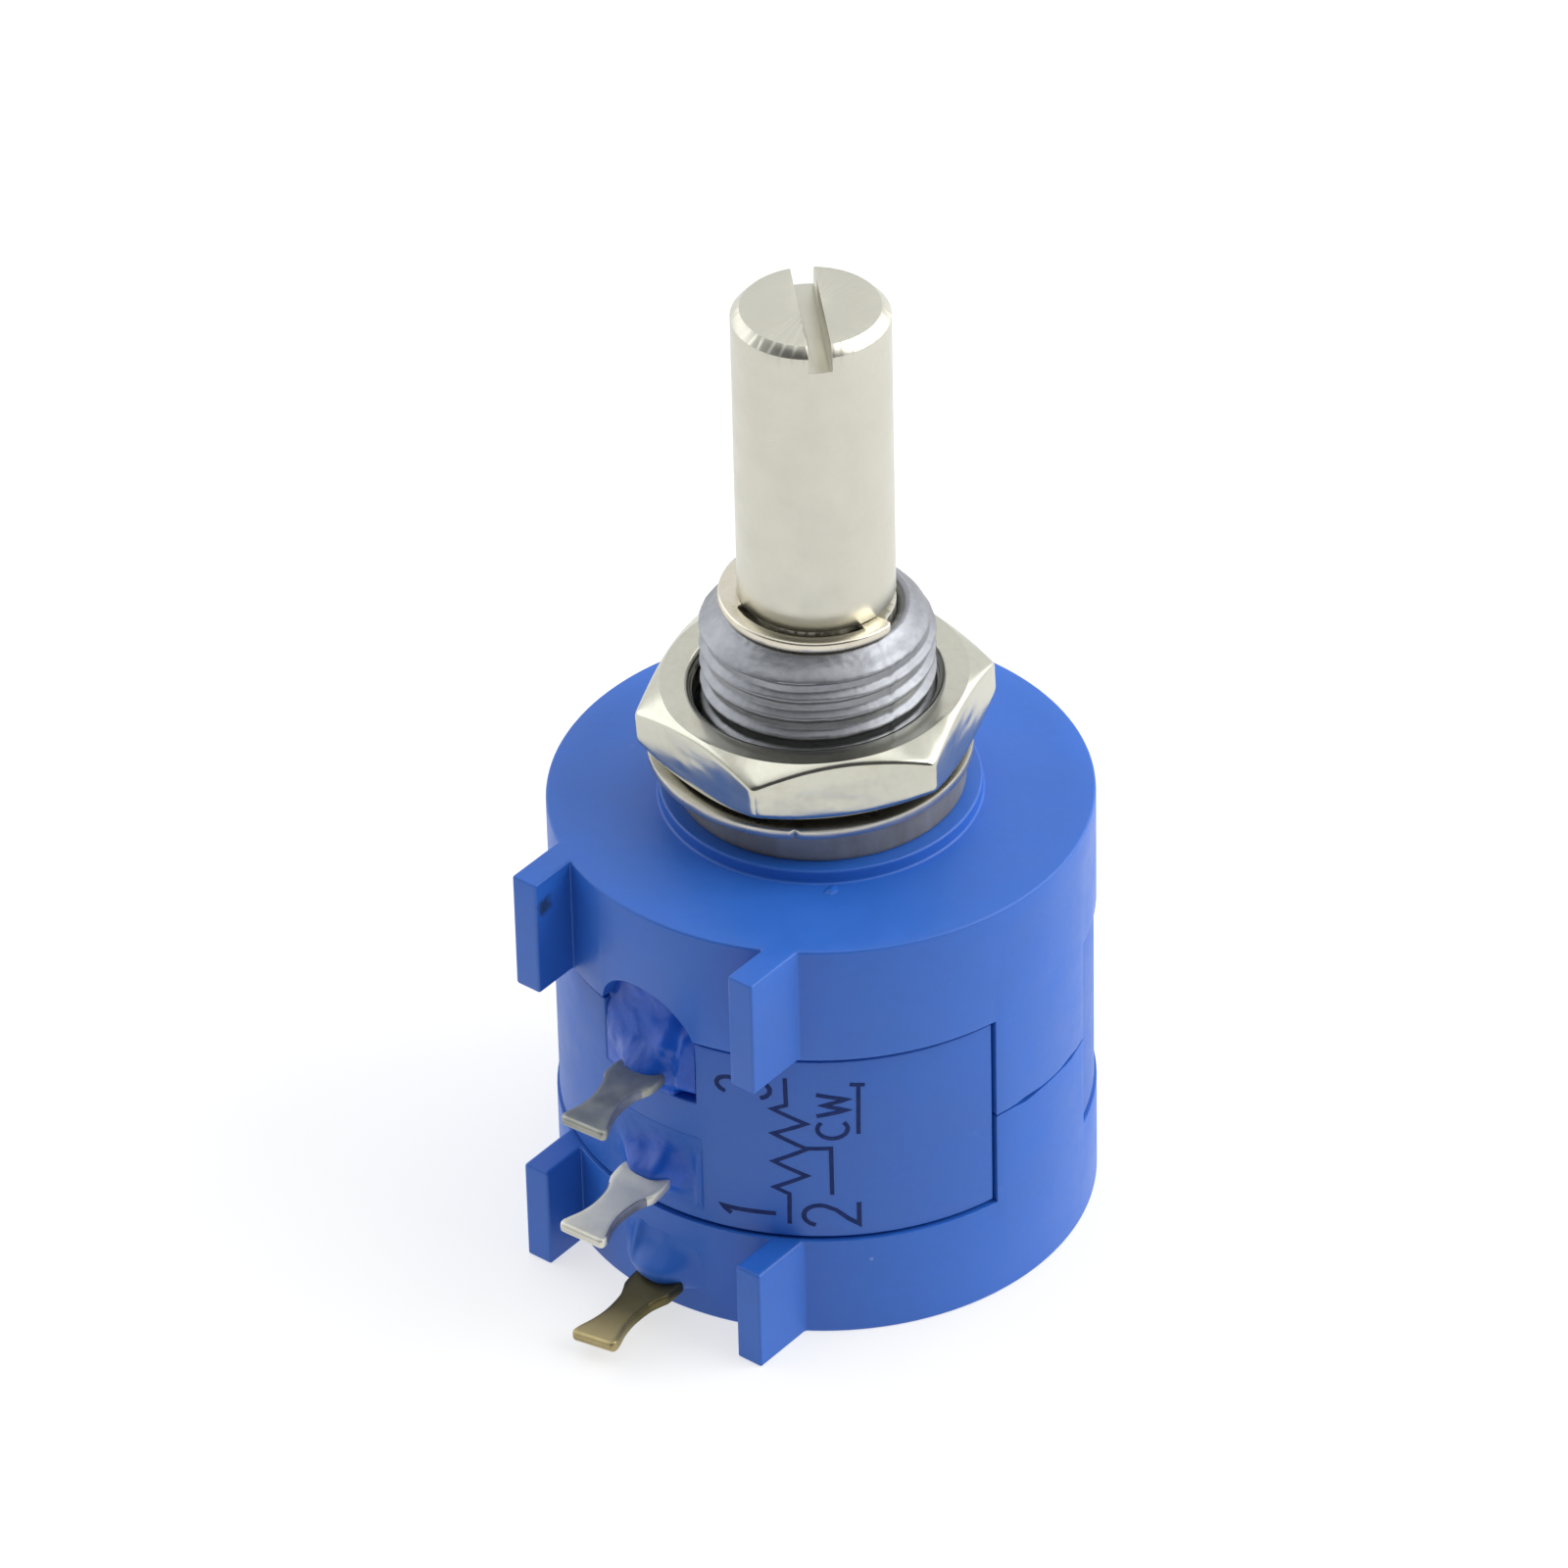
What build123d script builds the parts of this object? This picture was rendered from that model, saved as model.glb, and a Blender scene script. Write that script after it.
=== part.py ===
from build123d import *
import math
import os

os.makedirs("parts", exist_ok=True)

# ---------------------------------------------------------------------------
# Ten-turn wirewound panel potentiometer, shaft up, standing on its flat rear
# face.  Origin: centre of the rear face on the shaft axis.  +Z along the
# shaft, the solder terminals point along -Y.  Millimetres.
# ---------------------------------------------------------------------------

# body
BODY_R = 11.11            # outer radius of the two shells (22.22 diameter)
BODY_L = 19.30            # rear face to front face
WALL_IN_R = 10.15         # inner radius of the shell skirts
PLATE_T = 1.40            # end walls of both shells
RIM_FILLET = 0.28
WIN_LO = 4.70             # rear edge of the side windows
WIN_HI = 13.90            # front edge of the side windows
SEAM_Z = 9.10             # where the two shells meet on the bridges
BRIDGE_A0, BRIDGE_A1 = 76.8, 109.3   # bridge span, degrees from -Y
GAP = 0.05                # joint line between mouldings, each side
COLLAR_R, COLLAR_H = 6.55, 0.60      # raised ring on the front face

# standoff ribs either side of the terminals
RIB_X0, RIB_X1, RIB_Y = 4.90, 6.12, 12.15

# coil housing (inner moulding seen through the windows)
COIL_OD_R, COIL_ID_R = 10.12, 9.04
PANEL_R = 11.00
POCKET_HALF = 2.55
POCKET_R = 10.05

# resistance element: helix on the bore of the coil housing
PITCH = 1.20
WIRE_R = 0.40
HELIX_R = 8.60
Z_MID = 9.85              # height of the wiper at mid travel
TURNS = 10
END_A = 6.0               # the coil runs this many degrees past each end

# bushing, 3/8 inch barrel
BUSH_R = 4.7625
BUSH_BORE = 3.20
BOSS_R = 5.90
BOSS_TOP = 21.50
BUSH_TOP = 28.65
BUSH_LEAD_R, BUSH_LEAD_H = 3.75, 1.00
SPIGOT_R = 4.60
STAKE_R, STAKE_Z = 5.30, 17.45

# lock washer and hexagonal nut
WASHER_R, WASHER_T, WASHER_BORE = 6.60, 0.42, 5.22
WASHER_SHIFT = 0.38
NUT_AF, NUT_T, NUT_BORE = 12.72, 2.68, 4.98
NUT_FACE_R, NUT_SLOPE = 6.20, 30.0   # chamfer circle on both faces, its angle
NUT_SINK = 0.24           # countersink on both faces
NUT_Z = 23.53             # centre of the nut
NUT_ROT = 18.5            # azimuth of one corner, degrees from -Y
NUT_TILT = 1.9            # the loose nut leans on its thread
NUT_SHIFT = 0.12
TILT_A = -75.0            # azimuth, from -Y, of the low side of the nut
LEAN_A = -50.7            # azimuth, from -Y, towards which washer and nut sit off centre

# shaft
SHAFT_R = 3.175
SHAFT_TOP = 42.55
SHAFT_CHAMFER = 0.37
SLOT_W, SLOT_D, SLOT_A = 0.94, 1.03, 45.3
CORE_R, CORE_FLAT = 2.40, 1.95
PIVOT_R = 1.50
RING_Z, RING_T, RING_R, RING_IN = 28.68, 0.46, 3.95, 3.38
GROOVE_R = 2.72

# rotor and wiper
ROT_Z0, ROT_Z1 = 2.90, 16.95
HUB_R = 4.15
RAIL_X0, RAIL_X1, RAIL_Y = 1.78, 2.78, 7.00
CAR_X, CAR_Y0, CAR_Y1, CAR_H = 1.72, 4.78, 7.80, 2.40

# terminals
LUG_T = 0.45
LUG_TIP = 15.96
TERM2_X = 0.42            # the wiper terminal sits a little to the right
ARCH_H = 1.70             # rise of the arch over the first terminal
POCKET_X = -0.40          # the pockets sit a little to the left
TERM_Z = {"terminal_3": 11.80, "terminal_1": 6.62, "terminal_2": 1.47}
TERM_DROOP = {"terminal_3": 0.5, "terminal_1": 6.0, "terminal_2": 7.0}


def phi(az):
    """azimuth from -Y (towards +X) to the polar angle of the XY plane"""
    return az - 90.0


def sector(r0, r1, az0, az1):
    """closed annular sector inside a BuildSketch"""
    a0, a1 = phi(az0), phi(az1)
    with BuildLine() as outline:
        c1 = CenterArc((0, 0), r1, a0, a1 - a0)
        c0 = CenterArc((0, 0), r0, a0, a1 - a0)
        Line(c0 @ 0, c1 @ 0)
        Line(c0 @ 1, c1 @ 1)
    make_face(outline.line.edges())


def on_az(r, az):
    a = math.radians(phi(az))
    return (r * math.cos(a), r * math.sin(a))


BRIDGES = ((BRIDGE_A0, BRIDGE_A1), (-BRIDGE_A1, -BRIDGE_A0))

# ---------------------------------------------------------------------------
# front shell: end wall with a raised collar, skirt, two bridges, two ribs
# ---------------------------------------------------------------------------
with BuildPart() as front_shell:
    with BuildSketch(Plane.XY.offset(WIN_HI)):
        Circle(BODY_R)
    extrude(amount=BODY_L - WIN_HI)
    # ribs, flush with the front face
    with BuildSketch(Plane.XY.offset(WIN_HI + 0.05)):
        for s in (-1, 1):
            with Locations((s * (RIB_X0 + RIB_X1) / 2, -(RIB_Y + 9.2) / 2)):
                Rectangle(RIB_X1 - RIB_X0, RIB_Y - 9.2)
    extrude(amount=BODY_L - WIN_HI - 0.05)
    rib_ends = front_shell.edges().filter_by(Axis.Z).filter_by(
        lambda e: abs(e.center().Y + RIB_Y) < 0.01)
    fillet(rib_ends, 0.16)
    fillet(front_shell.faces().sort_by(Axis.Z)[-1].edges(), 0.22)
    # hollow
    with BuildSketch(Plane.XY.offset(WIN_HI - 1)):
        Circle(WALL_IN_R)
    extrude(amount=BODY_L - PLATE_T - WIN_HI + 1, mode=Mode.SUBTRACT)
    # bridges down to the seam
    with BuildSketch(Plane.XY.offset(SEAM_Z + GAP / 2)):
        for a0, a1 in BRIDGES:
            sector(WALL_IN_R, BODY_R, a0, a1)
    extrude(amount=WIN_HI - SEAM_Z)
    # collar round the bushing
    with BuildSketch(Plane.XY.offset(BODY_L)):
        Circle(COLLAR_R)
    extrude(amount=COLLAR_H)
    fillet(front_shell.faces().sort_by(Axis.Z)[-1].edges(), 0.25)
    # end stop for the wiper carriage
    with BuildSketch(Plane.XY.offset(16.20)):
        sector(7.62, 8.08, -22.5, -13.5)
    extrude(amount=BODY_L - PLATE_T - 16.20)
    # bore for the bushing spigot
    with BuildSketch(Plane.XY.offset(BODY_L - PLATE_T - 0.5)):
        Circle(SPIGOT_R)
    extrude(amount=PLATE_T + COLLAR_H + 1, mode=Mode.SUBTRACT)
    # arched notch over the first terminal
    with BuildSketch(Plane.XZ.offset(WALL_IN_R - 1.5)):
        with BuildLine():
            Polyline((POCKET_X + POCKET_HALF, WIN_HI - 0.5), (POCKET_X + POCKET_HALF, WIN_HI + 0.05))
            Spline((POCKET_X + POCKET_HALF, WIN_HI + 0.05), (POCKET_X + 1.20, WIN_HI + 1.28),
                   (POCKET_X - 0.20, WIN_HI + ARCH_H), (POCKET_X - 1.85, WIN_HI + 1.15),
                   (POCKET_X - POCKET_HALF, WIN_HI + 0.05))
            Polyline((POCKET_X - POCKET_HALF, WIN_HI + 0.05), (POCKET_X - POCKET_HALF, WIN_HI - 0.5),
                     (POCKET_X + POCKET_HALF, WIN_HI - 0.5))
        make_face()
    extrude(amount=3, mode=Mode.SUBTRACT)

# ---------------------------------------------------------------------------
# rear shell: end wall with the rear bearing, skirt, bridges, ribs
# ---------------------------------------------------------------------------
with BuildPart() as rear_shell:
    with BuildSketch():
        Circle(BODY_R)
    extrude(amount=WIN_LO)
    with BuildSketch():
        for s in (-1, 1):
            with Locations((s * (RIB_X0 + RIB_X1) / 2, -(RIB_Y + 9.2) / 2)):
                Rectangle(RIB_X1 - RIB_X0, RIB_Y - 9.2)
    extrude(amount=WIN_LO - 0.05)
    rib_ends = rear_shell.edges().filter_by(Axis.Z).filter_by(
        lambda e: abs(e.center().Y + RIB_Y) < 0.01)
    fillet(rib_ends, 0.16)
    fillet(rear_shell.faces().sort_by(Axis.Z)[0].edges(), 0.22)
    with BuildSketch(Plane.XY.offset(PLATE_T)):
        Circle(WALL_IN_R)
    extrude(amount=WIN_LO, mode=Mode.SUBTRACT)
    with BuildSketch(Plane.XY.offset(WIN_LO - 1)):
        for a0, a1 in BRIDGES:
            sector(WALL_IN_R, BODY_R, a0, a1)
    extrude(amount=SEAM_Z - GAP / 2 - WIN_LO + 1)
    # bearing boss for the rear pivot of the shaft
    with BuildSketch(Plane.XY.offset(PLATE_T)):
        Circle(2.30)
    extrude(amount=0.90)
    with BuildSketch(Plane.XY.offset(0.70)):
        Circle(PIVOT_R + 0.03)
    extrude(amount=2.0, mode=Mode.SUBTRACT)
    # end stop for the wiper carriage
    with BuildSketch(Plane.XY.offset(PLATE_T)):
        sector(7.62, 8.08, 13.5, 22.5)
    extrude(amount=3.50 - PLATE_T)
    # shallow ring recess in the rear face
    with BuildSketch():
        Circle(9.20)
        Circle(3.00, mode=Mode.SUBTRACT)
    extrude(amount=0.15, mode=Mode.SUBTRACT)
    # slot for the wiper terminal and its spring arm
    z2 = TERM_Z["terminal_2"]
    with BuildSketch(Plane.XY.offset(z2 - LUG_T / 2 - 0.005)):
        with Locations((TERM2_X / 2, -(11.6 + 2.45) / 2)):
            Rectangle(2.20 + TERM2_X, 11.6 - 2.45)
    extrude(amount=LUG_T + 0.01, mode=Mode.SUBTRACT)
    # pocket over the wiper terminal
    with BuildSketch(Plane.XY.offset(z2 - LUG_T / 2 + 0.05)):
        with Locations((TERM2_X / 2, -10.9)):
            Rectangle(2 * 2.2 + TERM2_X, 1.1)
    extrude(amount=2.80, mode=Mode.SUBTRACT)

# ---------------------------------------------------------------------------
# coil housing: tube with two raised window panels and terminal pockets
# ---------------------------------------------------------------------------
with BuildPart() as coil_housing:
    with BuildSketch(Plane.XY.offset(PLATE_T + 0.01)):
        Circle(COIL_OD_R)
        Circle(COIL_ID_R, mode=Mode.SUBTRACT)
    extrude(amount=BODY_L - 2 * PLATE_T - 0.02)
    with BuildSketch(Plane.XY.offset(WIN_LO + 2 * GAP)):
        sector(COIL_OD_R - 0.3, PANEL_R, -BRIDGE_A0 + 0.5, BRIDGE_A0 - 0.5)
        sector(COIL_OD_R - 0.3, PANEL_R, BRIDGE_A1 + 0.5, 360 - BRIDGE_A1 - 0.5)
    extrude(amount=WIN_HI - WIN_LO - 4 * GAP)
    # pockets for terminals 3 and 1
    with BuildSketch(Plane.XZ.offset(POCKET_R)):
        for z0, z1 in ((10.75, WIN_HI + 0.5), (5.55, 8.75)):
            with Locations((POCKET_X, (z0 + z1) / 2)):
                Rectangle(2 * POCKET_HALF, z1 - z0)
    extrude(amount=2, mode=Mode.SUBTRACT)
    # slots through the wall for the terminal roots
    for name in ("terminal_3", "terminal_1"):
        with BuildSketch(Plane.XY.offset(TERM_Z[name] - LUG_T / 2 - 0.01)):
            with Locations((0, -9.6)):
                Rectangle(2.06, 1.6)
        extrude(amount=LUG_T + 0.02, mode=Mode.SUBTRACT)
    # grooves for the two end ribbons, on the bore
    with BuildSketch(Plane.XY.offset(TERM_Z["terminal_3"])):
        with Locations((-0.90, -9.05)):
            Rectangle(0.92, 0.74)
    extrude(amount=16.25 - TERM_Z["terminal_3"], mode=Mode.SUBTRACT)
    with BuildSketch(Plane.XY.offset(3.20)):
        with Locations((0.90, -9.05)):
            Rectangle(0.92, 0.74)
    extrude(amount=TERM_Z["terminal_1"] - 3.20, mode=Mode.SUBTRACT)
    # notch over the wiper terminal
    with BuildSketch(Plane.XY.offset(PLATE_T - 0.2)):
        with Locations((TERM2_X / 2, -9.6)):
            Rectangle(2.20 + TERM2_X, 1.6)
    extrude(amount=z2 + LUG_T / 2 + 0.02 - PLATE_T + 0.2, mode=Mode.SUBTRACT)

# ---------------------------------------------------------------------------
# mounting bushing: boss, 3/8 barrel (thread form left plain here), staked rim
# ---------------------------------------------------------------------------
with BuildPart() as mounting_bushing:
    with BuildSketch(Plane.XZ):
        with BuildLine():
            Polyline(
                (BUSH_BORE, STAKE_Z), (STAKE_R - 0.15, STAKE_Z),
                (STAKE_R, STAKE_Z + 0.15), (STAKE_R, BODY_L - PLATE_T),
                (SPIGOT_R, BODY_L - PLATE_T), (SPIGOT_R, BODY_L + COLLAR_H),
                (BOSS_R, BODY_L + COLLAR_H), (BOSS_R, BOSS_TOP - 0.12),
                (BOSS_R - 0.12, BOSS_TOP), (BUSH_R - 0.35, BOSS_TOP),
                (BUSH_R - 0.35, BOSS_TOP + 0.5), (BUSH_R, BOSS_TOP + 0.85),
                (BUSH_R, BUSH_TOP - BUSH_LEAD_H), (BUSH_LEAD_R, BUSH_TOP),
                (BUSH_BORE + 0.18, BUSH_TOP), (BUSH_BORE, BUSH_TOP - 0.18),
                close=True)
        make_face()
    revolve(axis=Axis.Z)

# ---------------------------------------------------------------------------
# internal-tooth lock washer, lying loose on the boss and off centre
# ---------------------------------------------------------------------------
lean = on_az(1.0, LEAN_A)
with BuildPart() as lock_washer:
    with BuildSketch(Plane.XY.offset(BOSS_TOP)):
        with Locations((WASHER_SHIFT * lean[0], WASHER_SHIFT * lean[1])):
            Circle(WASHER_R)
            Circle(5.72, mode=Mode.SUBTRACT)
            with PolarLocations((5.72 + WASHER_BORE) / 2 + 0.06, 14):
                Rectangle(5.72 - WASHER_BORE + 0.12, 1.15)
    extrude(amount=WASHER_T)
    fillet(lock_washer.edges().filter_by(GeomType.CIRCLE).filter_by(
        lambda e: abs(e.radius - WASHER_R) < 1e-3), 0.07)

# ---------------------------------------------------------------------------
# hexagonal nut, chamfered on both faces, countersunk bore
# ---------------------------------------------------------------------------
corner_r = NUT_AF / math.sqrt(3)
low = on_az(1.0, TILT_A)
nut_plane = Plane(
    origin=(NUT_SHIFT * lean[0], NUT_SHIFT * lean[1], NUT_Z),
    x_dir=(math.cos(math.radians(phi(NUT_ROT))), math.sin(math.radians(phi(NUT_ROT))), 0),
    z_dir=(math.sin(math.radians(NUT_TILT)) * low[0],
           math.sin(math.radians(NUT_TILT)) * low[1],
           math.cos(math.radians(NUT_TILT))))
with BuildPart() as nut_blank:
    with BuildSketch(Plane.XY.offset(-NUT_T / 2)):
        RegularPolygon(radius=corner_r, side_count=6)
        Circle(NUT_BORE, mode=Mode.SUBTRACT)
    extrude(amount=NUT_T)
    # chamfer cones on both faces, and the countersinks
    with BuildSketch(Plane.XZ):
        t = math.tan(math.radians(NUT_SLOPE))
        r_face = NUT_FACE_R
        h = NUT_T / 2
        for s in (-1, 1):
            with BuildLine():
                Polyline((r_face, s * h), (r_face, s * (h + 1)),
                         (corner_r + 1.0, s * (h + 1)),
                         (corner_r + 1.0, s * (h - (corner_r + 1.0 - r_face) * t)),
                         close=True)
            make_face()
            with BuildLine():
                Polyline((NUT_BORE - 0.3, s * (h + 0.001)),
                         (NUT_BORE + NUT_SINK, s * (h + 0.001)),
                         (NUT_BORE - 0.3, s * (h - NUT_SINK - 0.3)), close=True)
            make_face()
    revolve(axis=Axis.Z, mode=Mode.SUBTRACT)
with BuildPart() as hex_nut:
    add(nut_blank.part.moved(nut_plane.location))

# ---------------------------------------------------------------------------
# shaft: rear pivot, keyed core, 6.35 journal with a clip groove and slot
# ---------------------------------------------------------------------------
with BuildPart() as shaft:
    with BuildSketch(Plane.XZ):
        with BuildLine():
            Polyline(
                (0, 0.85), (PIVOT_R - 0.2, 0.85), (PIVOT_R, 1.05), (PIVOT_R, 2.48),
                (CORE_R, 2.48), (CORE_R, ROT_Z1), (SHAFT_R, ROT_Z1),
                (SHAFT_R, RING_Z - 0.02), (GROOVE_R, RING_Z - 0.02),
                (GROOVE_R, RING_Z + RING_T + 0.02), (SHAFT_R, RING_Z + RING_T + 0.02),
                (SHAFT_R, SHAFT_TOP - SHAFT_CHAMFER),
                (SHAFT_R - SHAFT_CHAMFER, SHAFT_TOP), (0, SHAFT_TOP), close=True)
        make_face()
    revolve(axis=Axis.Z)
    # flat that keys the rotor, on the side away from the terminals
    with BuildSketch(Plane.XY.offset(ROT_Z0 - 0.02)):
        with Locations((0, CORE_FLAT + 0.6)):
            Rectangle(6, 1.2)
    extrude(amount=ROT_Z1 - ROT_Z0 + 0.02, mode=Mode.SUBTRACT)
    # screwdriver slot
    with BuildSketch(Plane.XY.offset(SHAFT_TOP - SLOT_D)):
        Rectangle(8, SLOT_W, rotation=phi(SLOT_A))
    extrude(amount=SLOT_D + 0.1, mode=Mode.SUBTRACT)

# ---------------------------------------------------------------------------
# retaining ring: open ring with three inward prongs in the shaft groove
# ---------------------------------------------------------------------------
with BuildPart() as retaining_ring:
    with BuildSketch(Plane.XY.offset(RING_Z)):
        sector(RING_IN, RING_R, 170, 448)
        # two narrow end prongs and a broad middle one
        for a, half in ((178, 7.5), (309, 20.0), (440, 7.5)):
            sector(GROOVE_R + 0.01, RING_IN + 0.1, a - half, a + half)
    extrude(amount=RING_T)
    fillet(retaining_ring.edges().filter_by(GeomType.CIRCLE).filter_by(
        lambda e: abs(e.radius - RING_R) < 1e-3), 0.09)

# ---------------------------------------------------------------------------
# thrust washer between the rotor and the bushing
# ---------------------------------------------------------------------------
with BuildPart() as thrust_washer:
    with BuildSketch(Plane.XY.offset(ROT_Z1 + 0.05)):
        Circle(4.15)
        Circle(SHAFT_R + 0.06, mode=Mode.SUBTRACT)
    extrude(amount=STAKE_Z - ROT_Z1 - 0.05)

# ---------------------------------------------------------------------------
# rotor: hub with a two-walled channel that carries the wiper carriage round
# ---------------------------------------------------------------------------
with BuildPart() as rotor_drum:
    with BuildSketch(Plane.XY.offset(ROT_Z0)):
        Circle(HUB_R)
        for s in (-1, 1):
            with Locations((s * (RAIL_X0 + RAIL_X1) / 2, -(RAIL_Y + 2.0) / 2)):
                Rectangle(RAIL_X1 - RAIL_X0, RAIL_Y - 2.0)
    extrude(amount=ROT_Z1 - ROT_Z0)
    # keyed bore
    with BuildSketch(Plane.XY.offset(ROT_Z0 - 0.1)):
        Circle(CORE_R + 0.01)
        with Locations((0, CORE_FLAT + 1.0)):
            Rectangle(6, 2.0, mode=Mode.SUBTRACT)
    extrude(amount=ROT_Z1 - ROT_Z0 + 0.2, mode=Mode.SUBTRACT)
    # guide grooves inside the channel, and the seat of the collector rail
    with BuildSketch(Plane.XY.offset(ROT_Z0 - 0.1)):
        with Locations((0, -5.80)):
            Rectangle(2 * (RAIL_X0 + 0.42), 0.80)
        with Locations((0, -4.45)):
            Rectangle(1.62, 1.0)
    extrude(amount=ROT_Z1 - ROT_Z0 + 0.2, mode=Mode.SUBTRACT)

with BuildPart() as collector_rail:
    with BuildSketch(Plane.XY.offset(ROT_Z0)):
        with Locations((0, -4.15)):
            Rectangle(1.60, 0.40)
    extrude(amount=ROT_Z1 - ROT_Z0 - 0.25)
    chamfer(collector_rail.faces().sort_by(Axis.Z)[-1].edges(), 0.08)

with BuildPart() as slip_ring:
    with BuildSketch(Plane.XY.offset(2.60)):
        Circle(4.15)
        Circle(2.62, mode=Mode.SUBTRACT)
    extrude(amount=ROT_Z0 - 2.60)

# ---------------------------------------------------------------------------
# wiper carriage: slides in the channel, carried up and down by the coil
# ---------------------------------------------------------------------------
with BuildPart() as wiper_carriage:
    with BuildSketch(Plane.XY.offset(Z_MID - CAR_H / 2)):
        with Locations((0, -(CAR_Y0 + CAR_Y1) / 2)):
            Rectangle(2 * CAR_X, CAR_Y1 - CAR_Y0)
        with Locations((0, -5.80)):
            Rectangle(2 * (RAIL_X0 + 0.34), 0.66)
    extrude(amount=CAR_H)
    # seat for the contact strip: over the top and down both ends
    with BuildSketch(Plane.YZ.offset(-0.62)):
        with BuildLine():
            Polyline((-CAR_Y1 - 0.1, Z_MID - 1.25), (-CAR_Y1 - 0.1, Z_MID + 1.3),
                     (-CAR_Y0 + 0.1, Z_MID + 1.3), (-CAR_Y0 + 0.1, Z_MID - 0.9),
                     (-CAR_Y0 - 0.16, Z_MID - 0.9), (-CAR_Y0 - 0.16, Z_MID + CAR_H / 2 - 0.16),
                     (-CAR_Y1 + 0.16, Z_MID + CAR_H / 2 - 0.16), (-CAR_Y1 + 0.16, Z_MID - 1.25),
                     close=True)
        make_face()
    extrude(amount=1.24, mode=Mode.SUBTRACT)

# one bent strip: a fork that straddles the coil wire, a strap over the
# carriage and a spring finger on the collector rail
with BuildPart() as wiper_contact:
    with BuildSketch(Plane.YZ.offset(-0.60)):
        with BuildLine():
            Polyline((-CAR_Y1 + 0.16, Z_MID - 0.80), (-CAR_Y1 + 0.16, Z_MID + CAR_H / 2 - 0.16),
                     (-CAR_Y0 - 0.16, Z_MID + CAR_H / 2 - 0.16), (-CAR_Y0 - 0.16, Z_MID - 0.85),
                     (-CAR_Y0 + 0.00, Z_MID - 0.85), (-CAR_Y0 + 0.10, Z_MID - 0.55),
                     (-4.41, Z_MID - 0.10), (-4.41, Z_MID + 0.15), (-CAR_Y0 + 0.05, Z_MID + 0.60),
                     (-CAR_Y0 - 0.01, Z_MID + 0.80), (-CAR_Y0 - 0.01, Z_MID + CAR_H / 2 - 0.01),
                     (-CAR_Y1 + 0.01, Z_MID + CAR_H / 2 - 0.01), (-CAR_Y1 + 0.01, Z_MID + 0.62),
                     (-8.46, Z_MID + 0.62), (-8.46, Z_MID - 0.62),
                     (-CAR_Y1 + 0.01, Z_MID - 0.62), (-CAR_Y1 + 0.01, Z_MID - 0.80), close=True)
        make_face()
        with Locations((-HELIX_R, Z_MID)):
            Circle(WIRE_R + 0.06, mode=Mode.SUBTRACT)
    extrude(amount=1.20)

# ---------------------------------------------------------------------------
# resistance element: a wound round wire formed into a ten-turn helix
# ---------------------------------------------------------------------------
span_deg = TURNS * 360 + 2 * END_A
helix_h = PITCH * span_deg / 360.0
# clockwise shaft rotation (seen from the shaft end) lifts the wiper, so the
# helix is left-handed and its middle turn passes -Y at Z_MID
start_az = -90.0 + span_deg / 2.0
with BuildPart() as resistance_helix:
    with BuildLine() as hl:
        Helix(pitch=PITCH, height=helix_h, radius=HELIX_R, lefthand=True)
    with BuildSketch(Plane(origin=hl.line @ 0, z_dir=hl.line % 0)):
        Circle(WIRE_R)
    sweep(path=hl.line, is_frenet=True)
resistance_helix.part = resistance_helix.part.rotate(Axis.Z, start_az).translate(
    (0, 0, Z_MID - helix_h / 2))

# ---------------------------------------------------------------------------
# solder terminals: flat hourglass lugs with a root in the coil housing
# ---------------------------------------------------------------------------


def lug_outline(y_in):
    """half-symmetric hourglass outline inside a BuildSketch, root at y_in"""
    with BuildLine() as outline:
        r0 = Line((1.00, -y_in), (1.00, -11.30))
        r1 = Line((1.00, -11.30), (1.18, -11.55))
        r2 = Line((1.18, -11.55), (1.18, -12.15))
        w = Spline((1.18, -12.15), (0.80, -13.05), (0.72, -14.10), (1.10, -15.45),
                   tangents=((-0.25, -1), (0.45, -1)))
        e = Spline((1.10, -15.45), (1.14, -15.72), (0.95, -LUG_TIP),
                   tangents=((0.45, -1), (-1, -0.1)))
        Line((0.95, -LUG_TIP), (0, -LUG_TIP))
        Line((0, -LUG_TIP), (0, -y_in))
        Line((0, -y_in), (1.00, -y_in))
    make_face(outline.line.edges())
    mirror(about=Plane.YZ)


def strip(points, t):
    """constant-thickness bent strip (side view) from its centre line (y, z)"""
    with BuildLine() as outline:
        off = []
        n = len(points)
        for i in range(n):
            d0 = points[i] if i == 0 else points[i - 1]
            d1 = points[i] if i == n - 1 else points[i + 1]
            dy, dz = d1[0] - d0[0], d1[1] - d0[1]
            ll = math.hypot(dy, dz)
            off.append((-dz / ll * t / 2, dy / ll * t / 2))
        up = [(q[0] + o[0], q[1] + o[1]) for q, o in zip(points, off)]
        dn = [(q[0] - o[0], q[1] - o[1]) for q, o in zip(points, off)]
        Polyline(*(up + dn[::-1]), close=True)
    make_face(outline.line.edges())


def droop_line(z0, y_in, droop):
    """centre line of a lug that bends down a little beyond its shoulders"""
    y0 = -12.1
    t = math.tan(math.radians(droop))
    return [(-y_in, z0), (y0, z0), (-13.2, z0 - 0.35 * t * 1.1),
            (-14.2, z0 - t * 1.15), (-16.2, z0 - t * 3.3)]


terminals = {}
for name, y_in in (("terminal_3", 9.12), ("terminal_1", 9.12)):
    with BuildPart() as lug:
        with BuildSketch(Plane.YZ.offset(-2)):
            strip(droop_line(TERM_Z[name], y_in, TERM_DROOP[name]), LUG_T)
        extrude(amount=4)
        with BuildSketch(Plane.XY.offset(TERM_Z[name] - 2)):
            lug_outline(y_in)
        extrude(amount=4, mode=Mode.INTERSECT)
    terminals[name] = lug

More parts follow.
